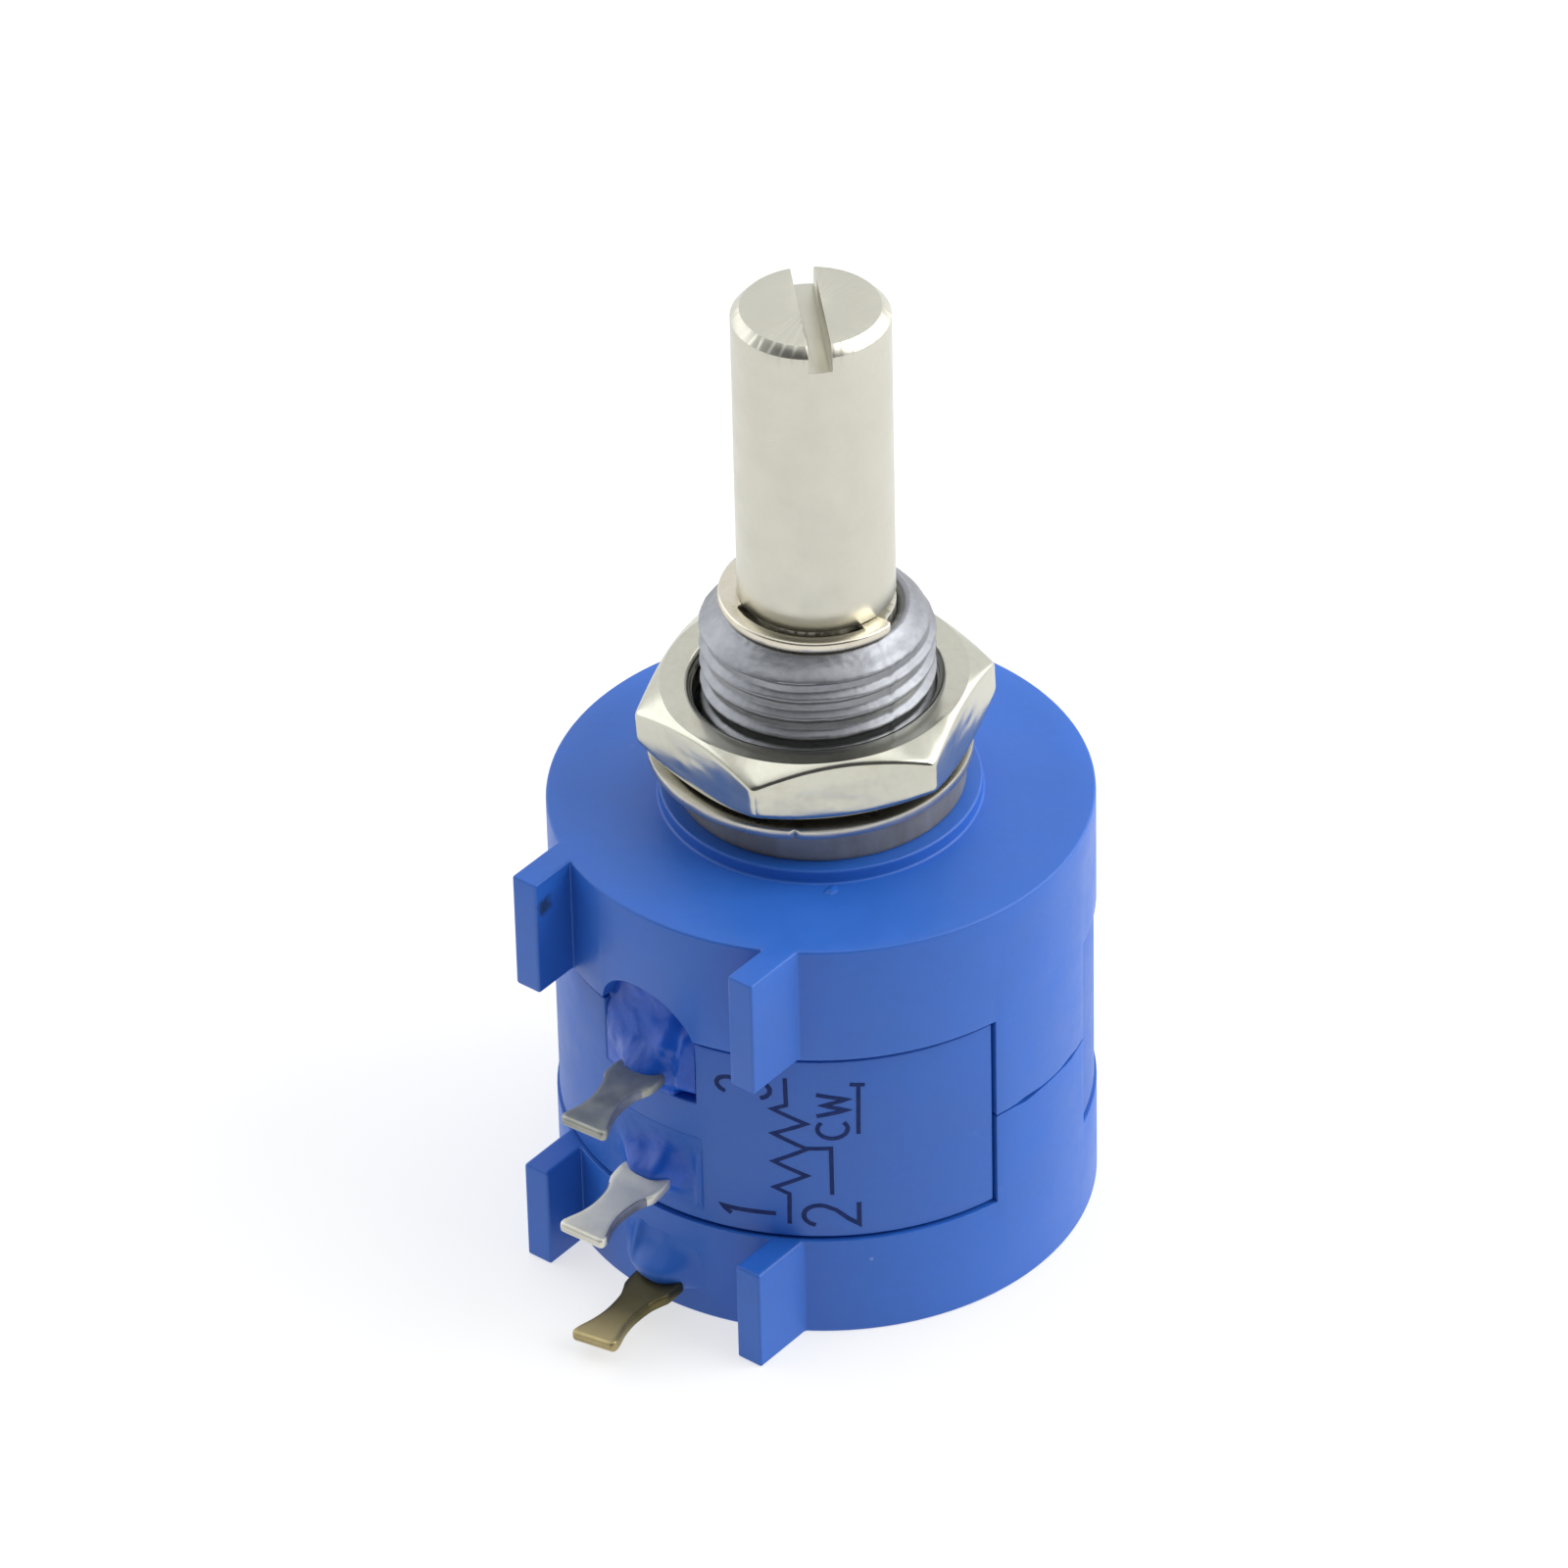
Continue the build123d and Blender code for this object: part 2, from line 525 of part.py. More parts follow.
# terminal 2 runs on inwards as a spring arm that brushes the slip ring
with BuildPart() as terminal_2:
    with BuildSketch(Plane.YZ.offset(-2)):
        strip(droop_line(TERM_Z["terminal_2"], 6.6, TERM_DROOP["terminal_2"]), LUG_T)
    extrude(amount=4)
    with BuildSketch(Plane(origin=(TERM2_X, 0, TERM_Z["terminal_2"] - 2))):
        lug_outline(6.6)
    extrude(amount=4, mode=Mode.INTERSECT)
    with BuildSketch(Plane.YZ.offset(-0.70)):
        strip([(-7.4, z2 - 0.10), (-6.2, z2 - 0.10), (-5.0, z2 + 0.32), (-4.2, z2 + 0.72),
               (-3.5, z2 + 0.98), (-2.75, z2 + 0.78)], 0.24)
    extrude(amount=1.40)

# ---------------------------------------------------------------------------
# sealing resin in the terminal pockets, domed round each terminal root
# ---------------------------------------------------------------------------
seals = {}
for name, half, z0, z1, dome in (("seal_3", 2.50, 10.80, 13.95, 11.45),
                                 ("seal_1", 2.50, 5.60, 8.70, 11.45),
                                 ("seal_2", 2.15, 1.75, 4.00, 11.40)):
    term = {"seal_3": "terminal_3", "seal_1": "terminal_1", "seal_2": "terminal_2"}[name]
    with BuildPart() as bead:
        r_in = POCKET_R + 0.005 if name != "seal_2" else WALL_IN_R + 0.22
        with BuildSketch(Plane.XZ.offset(r_in)):
            with Locations((POCKET_X if name != "seal_2" else TERM2_X / 2, (z0 + z1) / 2)):
                Rectangle(2 * half, z1 - z0)
        extrude(amount=3)
        with BuildSketch(Plane.XY.offset(0)):
            Circle(dome)
        extrude(amount=20, mode=Mode.INTERSECT)
        if name == "seal_3":
            # fills the arch in the front shell as well
            with BuildSketch(Plane.XZ.offset(WALL_IN_R + 0.02)):
                with BuildLine():
                    Spline((POCKET_X + POCKET_HALF - 0.06, WIN_HI), (POCKET_X + 1.16, WIN_HI + 1.18),
                           (POCKET_X - 0.20, WIN_HI + ARCH_H - 0.08), (POCKET_X - 1.79, WIN_HI + 1.06),
                           (POCKET_X - POCKET_HALF + 0.06, WIN_HI))
                    Line((POCKET_X - POCKET_HALF + 0.06, WIN_HI), (POCKET_X + POCKET_HALF - 0.06, WIN_HI))
                make_face()
            extrude(amount=0.75)
        # clear of the lug
        with BuildSketch(Plane.XY.offset(TERM_Z[term] - LUG_T / 2 - 0.01)):
            with Locations((TERM2_X if name == "seal_2" else 0, -10.9)):
                Rectangle(2.42, 2.4)
        extrude(amount=LUG_T + 0.02, mode=Mode.SUBTRACT)
    seals[name] = bead

# ---------------------------------------------------------------------------
# ribbons that join the ends of the element to terminals 3 and 1
# ---------------------------------------------------------------------------
with BuildPart() as lead_3:
    with BuildSketch(Plane.XY.offset(TERM_Z["terminal_3"] + LUG_T / 2)):
        with Locations((-0.90, -9.26)):
            Rectangle(0.80, 0.24)
    extrude(amount=16.15 - TERM_Z["terminal_3"] - LUG_T / 2)
    with BuildSketch(Plane.XY.offset(15.60)):
        with Locations((-0.90, -9.10)):
            Rectangle(0.80, 0.20)
    extrude(amount=0.55)
with BuildPart() as lead_1:
    with BuildSketch(Plane.XY.offset(3.30)):
        with Locations((0.90, -9.26)):
            Rectangle(0.80, 0.24)
    extrude(amount=TERM_Z["terminal_1"] - LUG_T / 2 - 3.30)
    with BuildSketch(Plane.XY.offset(3.55)):
        with Locations((0.90, -9.10)):
            Rectangle(0.80, 0.20)
    extrude(amount=0.55)

# ---------------------------------------------------------------------------
# write every piece
# ---------------------------------------------------------------------------
front_shell.part.label = "front_shell"
rear_shell.part.label = "rear_shell"
coil_housing.part.label = "coil_housing"
mounting_bushing.part.label = "mounting_bushing"
lock_washer.part.label = "lock_washer"
hex_nut.part.label = "hex_nut"
shaft.part.label = "shaft"
retaining_ring.part.label = "retaining_ring"
thrust_washer.part.label = "thrust_washer"
rotor_drum.part.label = "rotor_drum"
collector_rail.part.label = "collector_rail"
slip_ring.part.label = "slip_ring"
wiper_carriage.part.label = "wiper_carriage"
wiper_contact.part.label = "wiper_contact"
resistance_helix.part.label = "resistance_helix"
terminals["terminal_3"].part.label = "terminal_3"
terminals["terminal_1"].part.label = "terminal_1"
terminal_2.part.label = "terminal_2"
seals["seal_3"].part.label = "seal_3"
seals["seal_1"].part.label = "seal_1"
seals["seal_2"].part.label = "seal_2"
lead_3.part.label = "lead_3"
lead_1.part.label = "lead_1"

export_step(front_shell.part, "parts/front_shell.step")
export_step(rear_shell.part, "parts/rear_shell.step")
export_step(coil_housing.part, "parts/coil_housing.step")
export_step(mounting_bushing.part, "parts/mounting_bushing.step")
export_step(lock_washer.part, "parts/lock_washer.step")
export_step(hex_nut.part, "parts/hex_nut.step")
export_step(shaft.part, "parts/shaft.step")
export_step(retaining_ring.part, "parts/retaining_ring.step")
export_step(thrust_washer.part, "parts/thrust_washer.step")
export_step(rotor_drum.part, "parts/rotor_drum.step")
export_step(collector_rail.part, "parts/collector_rail.step")
export_step(slip_ring.part, "parts/slip_ring.step")
export_step(wiper_carriage.part, "parts/wiper_carriage.step")
export_step(wiper_contact.part, "parts/wiper_contact.step")
export_step(resistance_helix.part, "parts/resistance_helix.step")
export_step(terminals["terminal_3"].part, "parts/terminal_3.step")
export_step(terminals["terminal_1"].part, "parts/terminal_1.step")
export_step(terminal_2.part, "parts/terminal_2.step")
export_step(seals["seal_3"].part, "parts/seal_3.step")
export_step(seals["seal_1"].part, "parts/seal_1.step")
export_step(seals["seal_2"].part, "parts/seal_2.step")
export_step(lead_3.part, "parts/lead_3.step")
export_step(lead_1.part, "parts/lead_1.step")
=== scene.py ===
import math
import bpy
import bmesh
from mathutils import Vector, Matrix, noise


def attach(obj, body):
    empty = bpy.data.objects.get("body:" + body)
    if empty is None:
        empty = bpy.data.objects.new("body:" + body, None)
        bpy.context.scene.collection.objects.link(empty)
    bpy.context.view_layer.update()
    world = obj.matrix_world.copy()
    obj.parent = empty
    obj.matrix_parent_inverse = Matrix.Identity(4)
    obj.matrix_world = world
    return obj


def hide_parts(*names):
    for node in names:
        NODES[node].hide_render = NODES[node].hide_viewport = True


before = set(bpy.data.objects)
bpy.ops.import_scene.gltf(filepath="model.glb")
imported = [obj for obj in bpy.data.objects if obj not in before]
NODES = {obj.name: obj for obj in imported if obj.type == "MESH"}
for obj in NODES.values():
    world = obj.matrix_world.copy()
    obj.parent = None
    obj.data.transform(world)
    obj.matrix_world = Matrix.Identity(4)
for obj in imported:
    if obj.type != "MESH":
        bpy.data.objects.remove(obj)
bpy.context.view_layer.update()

scene = bpy.context.scene
MM = 0.001

# ---------------------------------------------------------------------------
# shared sizes, in millimetres (the CAD frame: rear face at z 0, +Z along the
# shaft, terminals along -Y)
# ---------------------------------------------------------------------------
BODY_R, BODY_L = 11.11, 19.30
WALL_IN = 10.15
WIN_LO, WIN_HI, SEAM = 4.70, 13.90, 9.10
BR0, BR1 = 76.8, 109.3
RIB_X0, RIB_X1, RIB_Y = 4.90, 6.12, 12.15
COLLAR_R, COLLAR_TOP = 6.55, 19.90


# ---------------------------------------------------------------------------
# mesh helpers
# ---------------------------------------------------------------------------
def make(name, verts, faces, mats, body, replaces=(), smooth=35.0, face_mat=None):
    me = bpy.data.meshes.new(name)
    me.from_pydata([(x * MM, y * MM, z * MM) for x, y, z in verts], [], faces)
    me.validate()
    bm = bmesh.new()
    bm.from_mesh(me)
    bmesh.ops.recalc_face_normals(bm, faces=bm.faces)
    bm.to_mesh(me)
    bm.free()
    ob = bpy.data.objects.new(name, me)
    scene.collection.objects.link(ob)
    for m in (mats if isinstance(mats, (list, tuple)) else [mats]):
        me.materials.append(m)
    if face_mat is not None:
        for p, k in zip(me.polygons, face_mat):
            p.material_index = k
    shade(ob, smooth)
    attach(ob, body)
    if replaces:
        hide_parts(*replaces)
    return ob


def shade(ob, angle=35.0):
    me = ob.data
    me.shade_smooth()
    me.set_sharp_from_angle(angle=math.radians(angle))


def bevel(ob, width, segments=3, angle=32.0, harden=True):
    md = ob.modifiers.new("edge", "BEVEL")
    md.width = width * MM
    md.segments = segments
    md.limit_method = "ANGLE"
    md.angle_limit = math.radians(angle)
    md.use_clamp_overlap = True
    md.harden_normals = harden
    md.miter_outer = "MITER_ARC"
    return md


def bake(ob):
    """applies an object's modifiers to its mesh"""
    dg = bpy.context.evaluated_depsgraph_get()
    bpy.context.view_layer.update()
    ev = ob.evaluated_get(dg)
    me = bpy.data.meshes.new_from_object(ev)
    old = ob.data
    ob.modifiers.clear()
    ob.data = me
    me.name = old.name
    bpy.data.meshes.remove(old)
    return ob


def nz(x, y, z):
    return noise.noise(Vector((x, y, z)))


def polar(r, az, z=0.0):
    """azimuth in degrees from -Y towards +X"""
    a = math.radians(az)
    return (r * math.sin(a), -r * math.cos(a), z)


def cells(name, nk, ni, nj, filled, pos, mats, body, replaces=(), smooth=35.0):
    """closed mesh round the filled cells of a (k, i, j) lattice; i wraps"""
    idx, verts, faces = {}, [], []

    def v(k, i, j):
        i %= ni
        key = (k, i, j)
        if key not in idx:
            idx[key] = len(verts)
            verts.append(pos(k, i, j))
        return idx[key]

    def full(k, i, j):
        return 0 <= k < nk and 0 <= j < nj and filled(k, i % ni, j)

    for k in range(nk):
        for i in range(ni):
            for j in range(nj):
                if not full(k, i, j):
                    continue
                if not full(k + 1, i, j):
                    faces.append((v(k + 1, i, j), v(k + 1, i + 1, j), v(k + 1, i + 1, j + 1), v(k + 1, i, j + 1)))
                if not full(k - 1, i, j):
                    faces.append((v(k, i, j), v(k, i, j + 1), v(k, i + 1, j + 1), v(k, i + 1, j)))
                if not full(k, i + 1, j):
                    faces.append((v(k, i + 1, j), v(k, i + 1, j + 1), v(k + 1, i + 1, j + 1), v(k + 1, i + 1, j)))
                if not full(k, i - 1, j):
                    faces.append((v(k, i, j), v(k + 1, i, j), v(k + 1, i, j + 1), v(k, i, j + 1)))
                if not full(k, i, j + 1):
                    faces.append((v(k, i, j + 1), v(k + 1, i, j + 1), v(k + 1, i + 1, j + 1), v(k, i + 1, j + 1)))
                if not full(k, i, j - 1):
                    faces.append((v(k, i, j), v(k, i + 1, j), v(k + 1, i + 1, j), v(k + 1, i, j)))
    return make(name, verts, faces, mats, body, replaces, smooth)


def lathe(name, outline, segs, mats, body, replaces=(), smooth=35.0, wobble=None, mat_of=None):
    """closed ring of revolution from a closed (r, z) outline"""
    n = len(outline)
    verts, faces = [], []
    for i in range(segs):
        az = 360.0 * i / segs
        for q, (r, z) in enumerate(outline):
            if wobble:
                r, z = wobble(r, z, az, q)
            verts.append(polar(r, az, z))
    for i in range(segs):
        for q in range(n):
            a, b = i * n + q, i * n + (q + 1) % n
            c, d = ((i + 1) % segs) * n + (q + 1) % n, ((i + 1) % segs) * n + q
            faces.append((a, b, c, d))
    fm = [mat_of(q) for i in range(segs) for q in range(n)] if mat_of else None
    return make(name, verts, faces, mats, body, replaces, smooth, fm)


def arc_pts(cx, cz, r, a0, a1, n=5):
    """points of a fillet arc, in (r, z)"""
    return [(cx + r * math.cos(math.radians(a0 + (a1 - a0) * t / n)),
             cz + r * math.sin(math.radians(a0 + (a1 - a0) * t / n))) for t in range(n + 1)]


# ---------------------------------------------------------------------------
# materials
# ---------------------------------------------------------------------------
class Mat:
    def __init__(self, name):
        self.m = bpy.data.materials.new(name)
        self.m.use_nodes = True
        self.nt = self.m.node_tree
        self.nt.nodes.clear()
        self.out = self.nt.nodes.new("ShaderNodeOutputMaterial")
        self.b = self.nt.nodes.new("ShaderNodeBsdfPrincipled")
        self.nt.links.new(self.b.outputs[0], self.out.inputs[0])
        self.co = self.nt.nodes.new("ShaderNodeTexCoord").outputs["Object"]

    def n(self, kind, **kw):
        nd = self.nt.nodes.new(kind)
        for k, val in kw.items():
            setattr(nd, k, val)
        return nd

    def link(self, a, b):
        self.nt.links.new(a, b)

    def mapped(self, scale, loc=(0, 0, 0), rot=(0, 0, 0)):
        mp = self.n("ShaderNodeMapping")
        mp.inputs["Scale"].default_value = scale
        mp.inputs["Location"].default_value = loc
        mp.inputs["Rotation"].default_value = rot
        self.link(self.co, mp.inputs["Vector"])
        return mp.outputs[0]

    def noise(self, scale, detail=3.0, rough=0.5, vec=None, distort=0.0):
        nd = self.n("ShaderNodeTexNoise")
        nd.inputs["Scale"].default_value = scale
        nd.inputs["Detail"].default_value = detail
        nd.inputs["Roughness"].default_value = rough
        nd.inputs["Distortion"].default_value = distort
        self.link(vec if vec is not None else self.co, nd.inputs["Vector"])
        return nd.outputs[0]

    def ramp(self, fac, stops, interp="LINEAR"):
        nd = self.n("ShaderNodeValToRGB")
        el = nd.color_ramp.elements
        nd.color_ramp.interpolation = interp
        while len(el) < len(stops):
            el.new(0.5)
        for e, (p, c) in zip(el, stops):
            e.position = p
            e.color = (c[0], c[1], c[2], 1.0) if isinstance(c, (tuple, list)) else (c, c, c, 1.0)
        self.link(fac, nd.inputs[0])
        return nd.outputs[0]

    def mix(self, fac, a, b, mode="MIX"):
        nd = self.n("ShaderNodeMix", data_type="RGBA", blend_type=mode)
        for sock, val in ((nd.inputs[0], fac), (nd.inputs[6], a), (nd.inputs[7], b)):
            if isinstance(val, (int, float)):
                sock.default_value = val
            elif isinstance(val, (tuple, list)):
                sock.default_value = (val[0], val[1], val[2], 1.0)
            else:
                self.link(val, sock)
        return nd.outputs[2]

    def math(self, op, a, b=0.0, clamp=False):
        nd = self.n("ShaderNodeMath", operation=op, use_clamp=clamp)
        for sock, val in zip(nd.inputs, (a, b)):
            if isinstance(val, (int, float)):
                sock.default_value = val
            else:
                self.link(val, sock)
        return nd.outputs[0]

    def bump(self, height, strength, dist_mm, chain=None):
        nd = self.n("ShaderNodeBump")
        nd.inputs["Strength"].default_value = strength
        nd.inputs["Distance"].default_value = dist_mm * MM
        self.link(height, nd.inputs["Height"])
        if chain is not None:
            self.link(chain, nd.inputs["Normal"])
        return nd.outputs[0]

    def set(self, **kw):
        names = {"color": "Base Color", "rough": "Roughness", "metal": "Metallic", "spec": "Specular IOR Level",
                 "ior": "IOR", "coat": "Coat Weight", "coat_rough": "Coat Roughness", "normal": "Normal",
                 "aniso": "Anisotropic", "aniso_rot": "Anisotropic Rotation", "sss": "Subsurface Weight",
                 "sss_scale": "Subsurface Scale", "sss_radius": "Subsurface Radius"}
        for k, val in kw.items():
            sock = self.b.inputs[names[k]]
            if isinstance(val, (int, float)):
                sock.default_value = val
            elif isinstance(val, (tuple, list)):
                sock.default_value = (val[0], val[1], val[2], 1.0) if len(sock.default_value) == 4 else val
            else:
                self.link(val, sock)
        return self


def lin(r, g, b):
    """sRGB 0-255 to linear"""
    def f(c):
        c /= 255.0
        return c / 12.92 if c <= 0.04045 else ((c + 0.055) / 1.055) ** 2.4
    return (f(r), f(g), f(b))


def mottled(mt, base, spread=0.10, scale=260.0, fine=2600.0):
    """a colour that drifts slightly over the surface, at two scales"""
    dark = tuple(c * (1 - spread) for c in base)
    light = tuple(min(1.0, c * (1 + spread)) for c in base)
    big = mt.ramp(mt.noise(scale, 3, 0.55), [(0.32, dark), (0.68, light)])
    small = mt.ramp(mt.noise(fine, 4, 0.6), [(0.35, tuple(c * (1 - spread * 0.6) for c in base)), (0.65, light)])
    return mt.mix(0.35, big, small)


def blue_plastic(name, base, rough=0.42, specks=True, spot=None):
    mt = Mat(name)
    col = mottled(mt, base, 0.07)
    # faint lighter scuffs and a few dust specks
    scuff = mt.ramp(mt.noise(900.0, 6, 0.72, distort=0.6), [(0.62, 0.0), (0.80, 1.0)])
    col = mt.mix(mt.math("MULTIPLY", scuff, 0.10), col, lin(120, 165, 235))
    if specks:
        vor = mt.n("ShaderNodeTexVoronoi", feature="F1")
        vor.inputs["Scale"].default_value = 420.0
        vor.inputs["Randomness"].default_value = 1.0
        mt.link(mt.co, vor.inputs["Vector"])
        dot = mt.ramp(vor.outputs["Distance"], [(0.035, 1.0), (0.06, 0.0)])
        pick = mt.ramp(mt.noise(150.0, 2, 0.5), [(0.60, 0.0), (0.68, 1.0)])
        col = mt.mix(mt.math("MULTIPLY", mt.math("MULTIPLY", dot, pick), 0.55), col, lin(165, 190, 230))
    if spot is not None:
        dv = mt.n("ShaderNodeVectorMath", operation="DISTANCE")
        mt.link(mt.co, dv.inputs[0])
        dv.inputs[1].default_value = [c * MM for c in spot]
        far = mt.math("ADD", dv.outputs["Value"], mt.math("MULTIPLY", mt.math("SUBTRACT", mt.noise(2200.0, 3, 0.6), 0.5), 0.0009))
        col = mt.mix(mt.ramp(mt.math("MULTIPLY", far, 1000.0), [(0.16, 0.80), (0.50, 0.0)]), col, lin(30, 40, 44))
    ro = mt.ramp(mt.noise(520.0, 5, 0.65), [(0.3, rough - 0.06), (0.7, rough + 0.07)])
    b1 = mt.bump(mt.noise(9000.0, 3, 0.6), 0.10, 0.010)
    b2 = mt.bump(mt.noise(420.0, 3, 0.5), 0.10, 0.06, b1)
    mt.set(color=col, rough=ro, normal=b2, ior=1.50, spec=0.5, sss=0.0)
    return mt.m


def metal(name, base, rough=0.28, spread=0.06, stain=None, stain_amt=0.0, turned=None, brushed=None,
          bump=0.0, pits=0.0, metallic=1.0):
    mt = Mat(name)
    col = mottled(mt, base, spread, 300.0, 3500.0)
    if stain is not None:
        sp = mt.ramp(mt.noise(480.0, 6, 0.7, distort=0.4), [(0.50, 0.0), (0.72, 1.0)])
        col = mt.mix(mt.math("MULTIPLY", sp, stain_amt), col, stain)
    ro = mt.ramp(mt.noise(700.0, 5, 0.65), [(0.3, max(0.03, rough * 0.80)), (0.7, rough * 1.22)])
    nrm = None
    if turned:
        # rings round the axis: noise that varies fast along z and slowly round it
        v = mt.mapped((60.0, 60.0, turned))
        nz = mt.noise(1.0, 4, 0.65, vec=v)
        nrm = mt.bump(nz, 0.25, 0.004 if not bump else bump, nrm)
    if brushed:
        v = mt.mapped(brushed)
        nz = mt.noise(1.0, 4, 0.6, vec=v)
        nrm = mt.bump(nz, 0.3, 0.006, nrm)
    nrm = mt.bump(mt.noise(2600.0, 5, 0.6), 0.2, 0.004 + pits * 0.02, nrm)
    mt.set(color=col, rough=ro, metal=metallic, normal=nrm)
    return mt.m


BLUE = lin(38, 98, 191)
BLUE_IN = lin(41, 95, 184)
m_shell = blue_plastic("plastic_shell", BLUE, spot=(-4.9, -11.65, 18.0))
m_inner = blue_plastic("plastic_panel", BLUE_IN, 0.46)

mt = Mat("resin_blue")
col = mottled(mt, lin(22, 84, 190), 0.12, 500.0, 2500.0)
mt.set(color=col, rough=mt.ramp(mt.noise(600.0, 3, 0.5), [(0.3, 0.20), (0.7, 0.36)]),
       normal=mt.bump(mt.noise(900.0, 3, 0.5), 0.25, 0.05), ior=1.46, spec=0.42)
m_resin = mt.m

# the same resin in the middle pocket, thinning out to the panel's own colour
mt = Mat("resin_blue_thin")
mp = mt.mapped((1 / 0.0023, 0.0, 1 / 0.00165), loc=(-0.00015 / 0.0023, 0.0, -0.0071 / 0.00165))
ln = mt.n("ShaderNodeVectorMath", operation="LENGTH")
mt.link(mp, ln.inputs[0])
edge = mt.math("ADD", ln.outputs["Value"], mt.math("MULTIPLY", mt.math("SUBTRACT", mt.noise(700.0, 4, 0.6), 0.5), 0.7))
thin = mt.ramp(edge, [(0.62, 0.0), (0.98, 1.0)])
col = mt.mix(thin, mottled(mt, lin(22, 84, 190), 0.12, 500.0, 2500.0), mottled(mt, BLUE_IN, 0.07))
ro = mt.mix(thin, (0.27, 0.27, 0.27), (0.46, 0.46, 0.46))
mt.set(color=col, rough=ro, normal=mt.bump(mt.noise(900.0, 3, 0.5), 0.25, 0.05), ior=1.46, spec=0.42)
m_resin_thin = mt.m

mt = Mat("print_ink")
col = mottled(mt, lin(14, 38, 96), 0.25, 900.0, 7000.0)
mt.set(color=col, rough=mt.ramp(mt.noise(3000.0, 3, 0.5), [(0.3, 0.62), (0.7, 0.8)]),
       normal=mt.bump(mt.noise(9000.0, 2, 0.5), 0.2, 0.004), spec=0.25)
m_ink = mt.m

m_shaft = metal("shaft_nickel", lin(203, 201, 188), 0.34, 0.03, lin(190, 180, 160), 0.10, turned=9000.0)
m_nut = metal("nut_nickel", lin(197, 196, 183), 0.20, 0.06, lin(178, 168, 146), 0.35, bump=0.01, pits=0.25)
m_washer = metal("washer_steel", lin(190, 187, 178), 0.30, 0.08, lin(150, 134, 104), 0.4)
m_ring = metal("ring_steel", lin(214, 208, 192), 0.24, 0.05, lin(170, 158, 128), 0.3)
m_lug = metal("lug_tinned", lin(214, 213, 202), 0.42, 0.08, lin(190, 184, 160), 0.35, brushed=(300.0, 3000.0, 300.0),
              metallic=0.70)
# terminal 3's lug: the same tin as terminal 1's, a little rougher, with a darker base colour that is painted dark
# reflection
m_lug3 = metal("lug_tinned_painted_dark", lin(158, 160, 152), 0.46, 0.14, lin(120, 118, 100), 0.35, brushed=(900.0, 2600.0, 900.0),
               pits=0.4)
# sheared lug edges: rough, with a dark bluish base colour that is a painted reflection of the blue housing
m_cut = metal("lug_cut_edge_painted_reflection", lin(128, 132, 146), 0.55, 0.14, pits=0.5)
m_brass = metal("contact_gold", lin(214, 186, 112), 0.25, 0.08, brushed=(500.0, 4000.0, 500.0))
m_bronze_sheet = metal("bronze_sheet", lin(190, 142, 92), 0.32, 0.08, brushed=(2000.0, 600.0, 600.0))
m_copper = metal("copper_ribbon", lin(196, 122, 84), 0.3, 0.1)
m_alloy = metal("spring_alloy", lin(205, 184, 130), 0.27, 0.06, brushed=(500.0, 3500.0, 500.0))

# die-cast, nickel-plated bushing: bluish grey where the barrel's thread is
# worn, warmer on the boss below
mt = Mat("bushing_cast")
base = mottled(mt, lin(150, 152, 157), 0.12, 350.0, 4200.0)
sep = mt.n("ShaderNodeSeparateXYZ")
mt.link(mt.co, sep.inputs[0])
low = mt.ramp(mt.math("MULTIPLY", mt.math("SUBTRACT", sep.outputs[2], 0.0195), 1.0 / 0.0035),
              [(0.0, 1.0), (0.62, 1.0), (0.80, 0.0)])
col = mt.mix(mt.math("MULTIPLY", low, 0.75), base, lin(188, 178, 158))
dirt = mt.ramp(mt.noise(650.0, 6, 0.7, distort=0.5), [(0.46, 0.0), (0.70, 1.0)])
col = mt.mix(mt.math("MULTIPLY", dirt, 0.28), col, lin(112, 112, 118))
b = mt.bump(mt.noise(1.0, 5, 0.65, vec=mt.mapped((900.0, 900.0, 5200.0))), 0.5, 0.02)
b = mt.bump(mt.noise(3200.0, 5, 0.65), 0.55, 0.024, b)
mt.set(color=col, rough=mt.ramp(mt.noise(800.0, 5, 0.65), [(0.3, 0.38), (0.7, 0.54)]), metal=1.0, normal=b)
m_bush = mt.m

# the boss below the thread: duller, streaked
mt = Mat("boss_cast")
base = mottled(mt, lin(150, 149, 145), 0.10, 420.0, 3600.0)
streak = mt.ramp(mt.noise(1.0, 4, 0.6, vec=mt.mapped((620.0, 620.0, 150.0))), [(0.44, 0.0), (0.66, 1.0)])
col = mt.mix(mt.math("MULTIPLY", streak, 0.42), base, lin(118, 104, 84))
b = mt.bump(mt.noise(1.0, 5, 0.65, vec=mt.mapped((1400.0, 1400.0, 500.0))), 0.4, 0.02)
mt.set(color=col, rough=mt.ramp(mt.noise(800.0, 5, 0.65), [(0.3, 0.42), (0.7, 0.56)]), metal=0.62, normal=b)
m_boss = mt.m

# bronze lug: olive tarnish that fades to tin at the tip
mt = Mat("lug_bronze")
base = mottled(mt, lin(106, 98, 66), 0.14, 420.0, 3500.0)
sep = mt.n("ShaderNodeSeparateXYZ")
mt.link(mt.co, sep.inputs[0])
tip = mt.ramp(mt.math("MULTIPLY", mt.math("SUBTRACT", -0.0136, sep.outputs[1]), 1.0 / 0.0022),
              [(0.1, 0.0), (0.9, 1.0)])
col = mt.mix(tip, base, lin(172, 158, 116))
mt.set(color=col, rough=mt.ramp(mt.noise(900.0, 4, 0.6), [(0.3, 0.36), (0.7, 0.52)]), metal=1.0,
       normal=mt.bump(mt.noise(1.0, 4, 0.6, vec=mt.mapped((400.0, 3000.0, 400.0))), 0.35, 0.008))
m_lug2 = mt.m


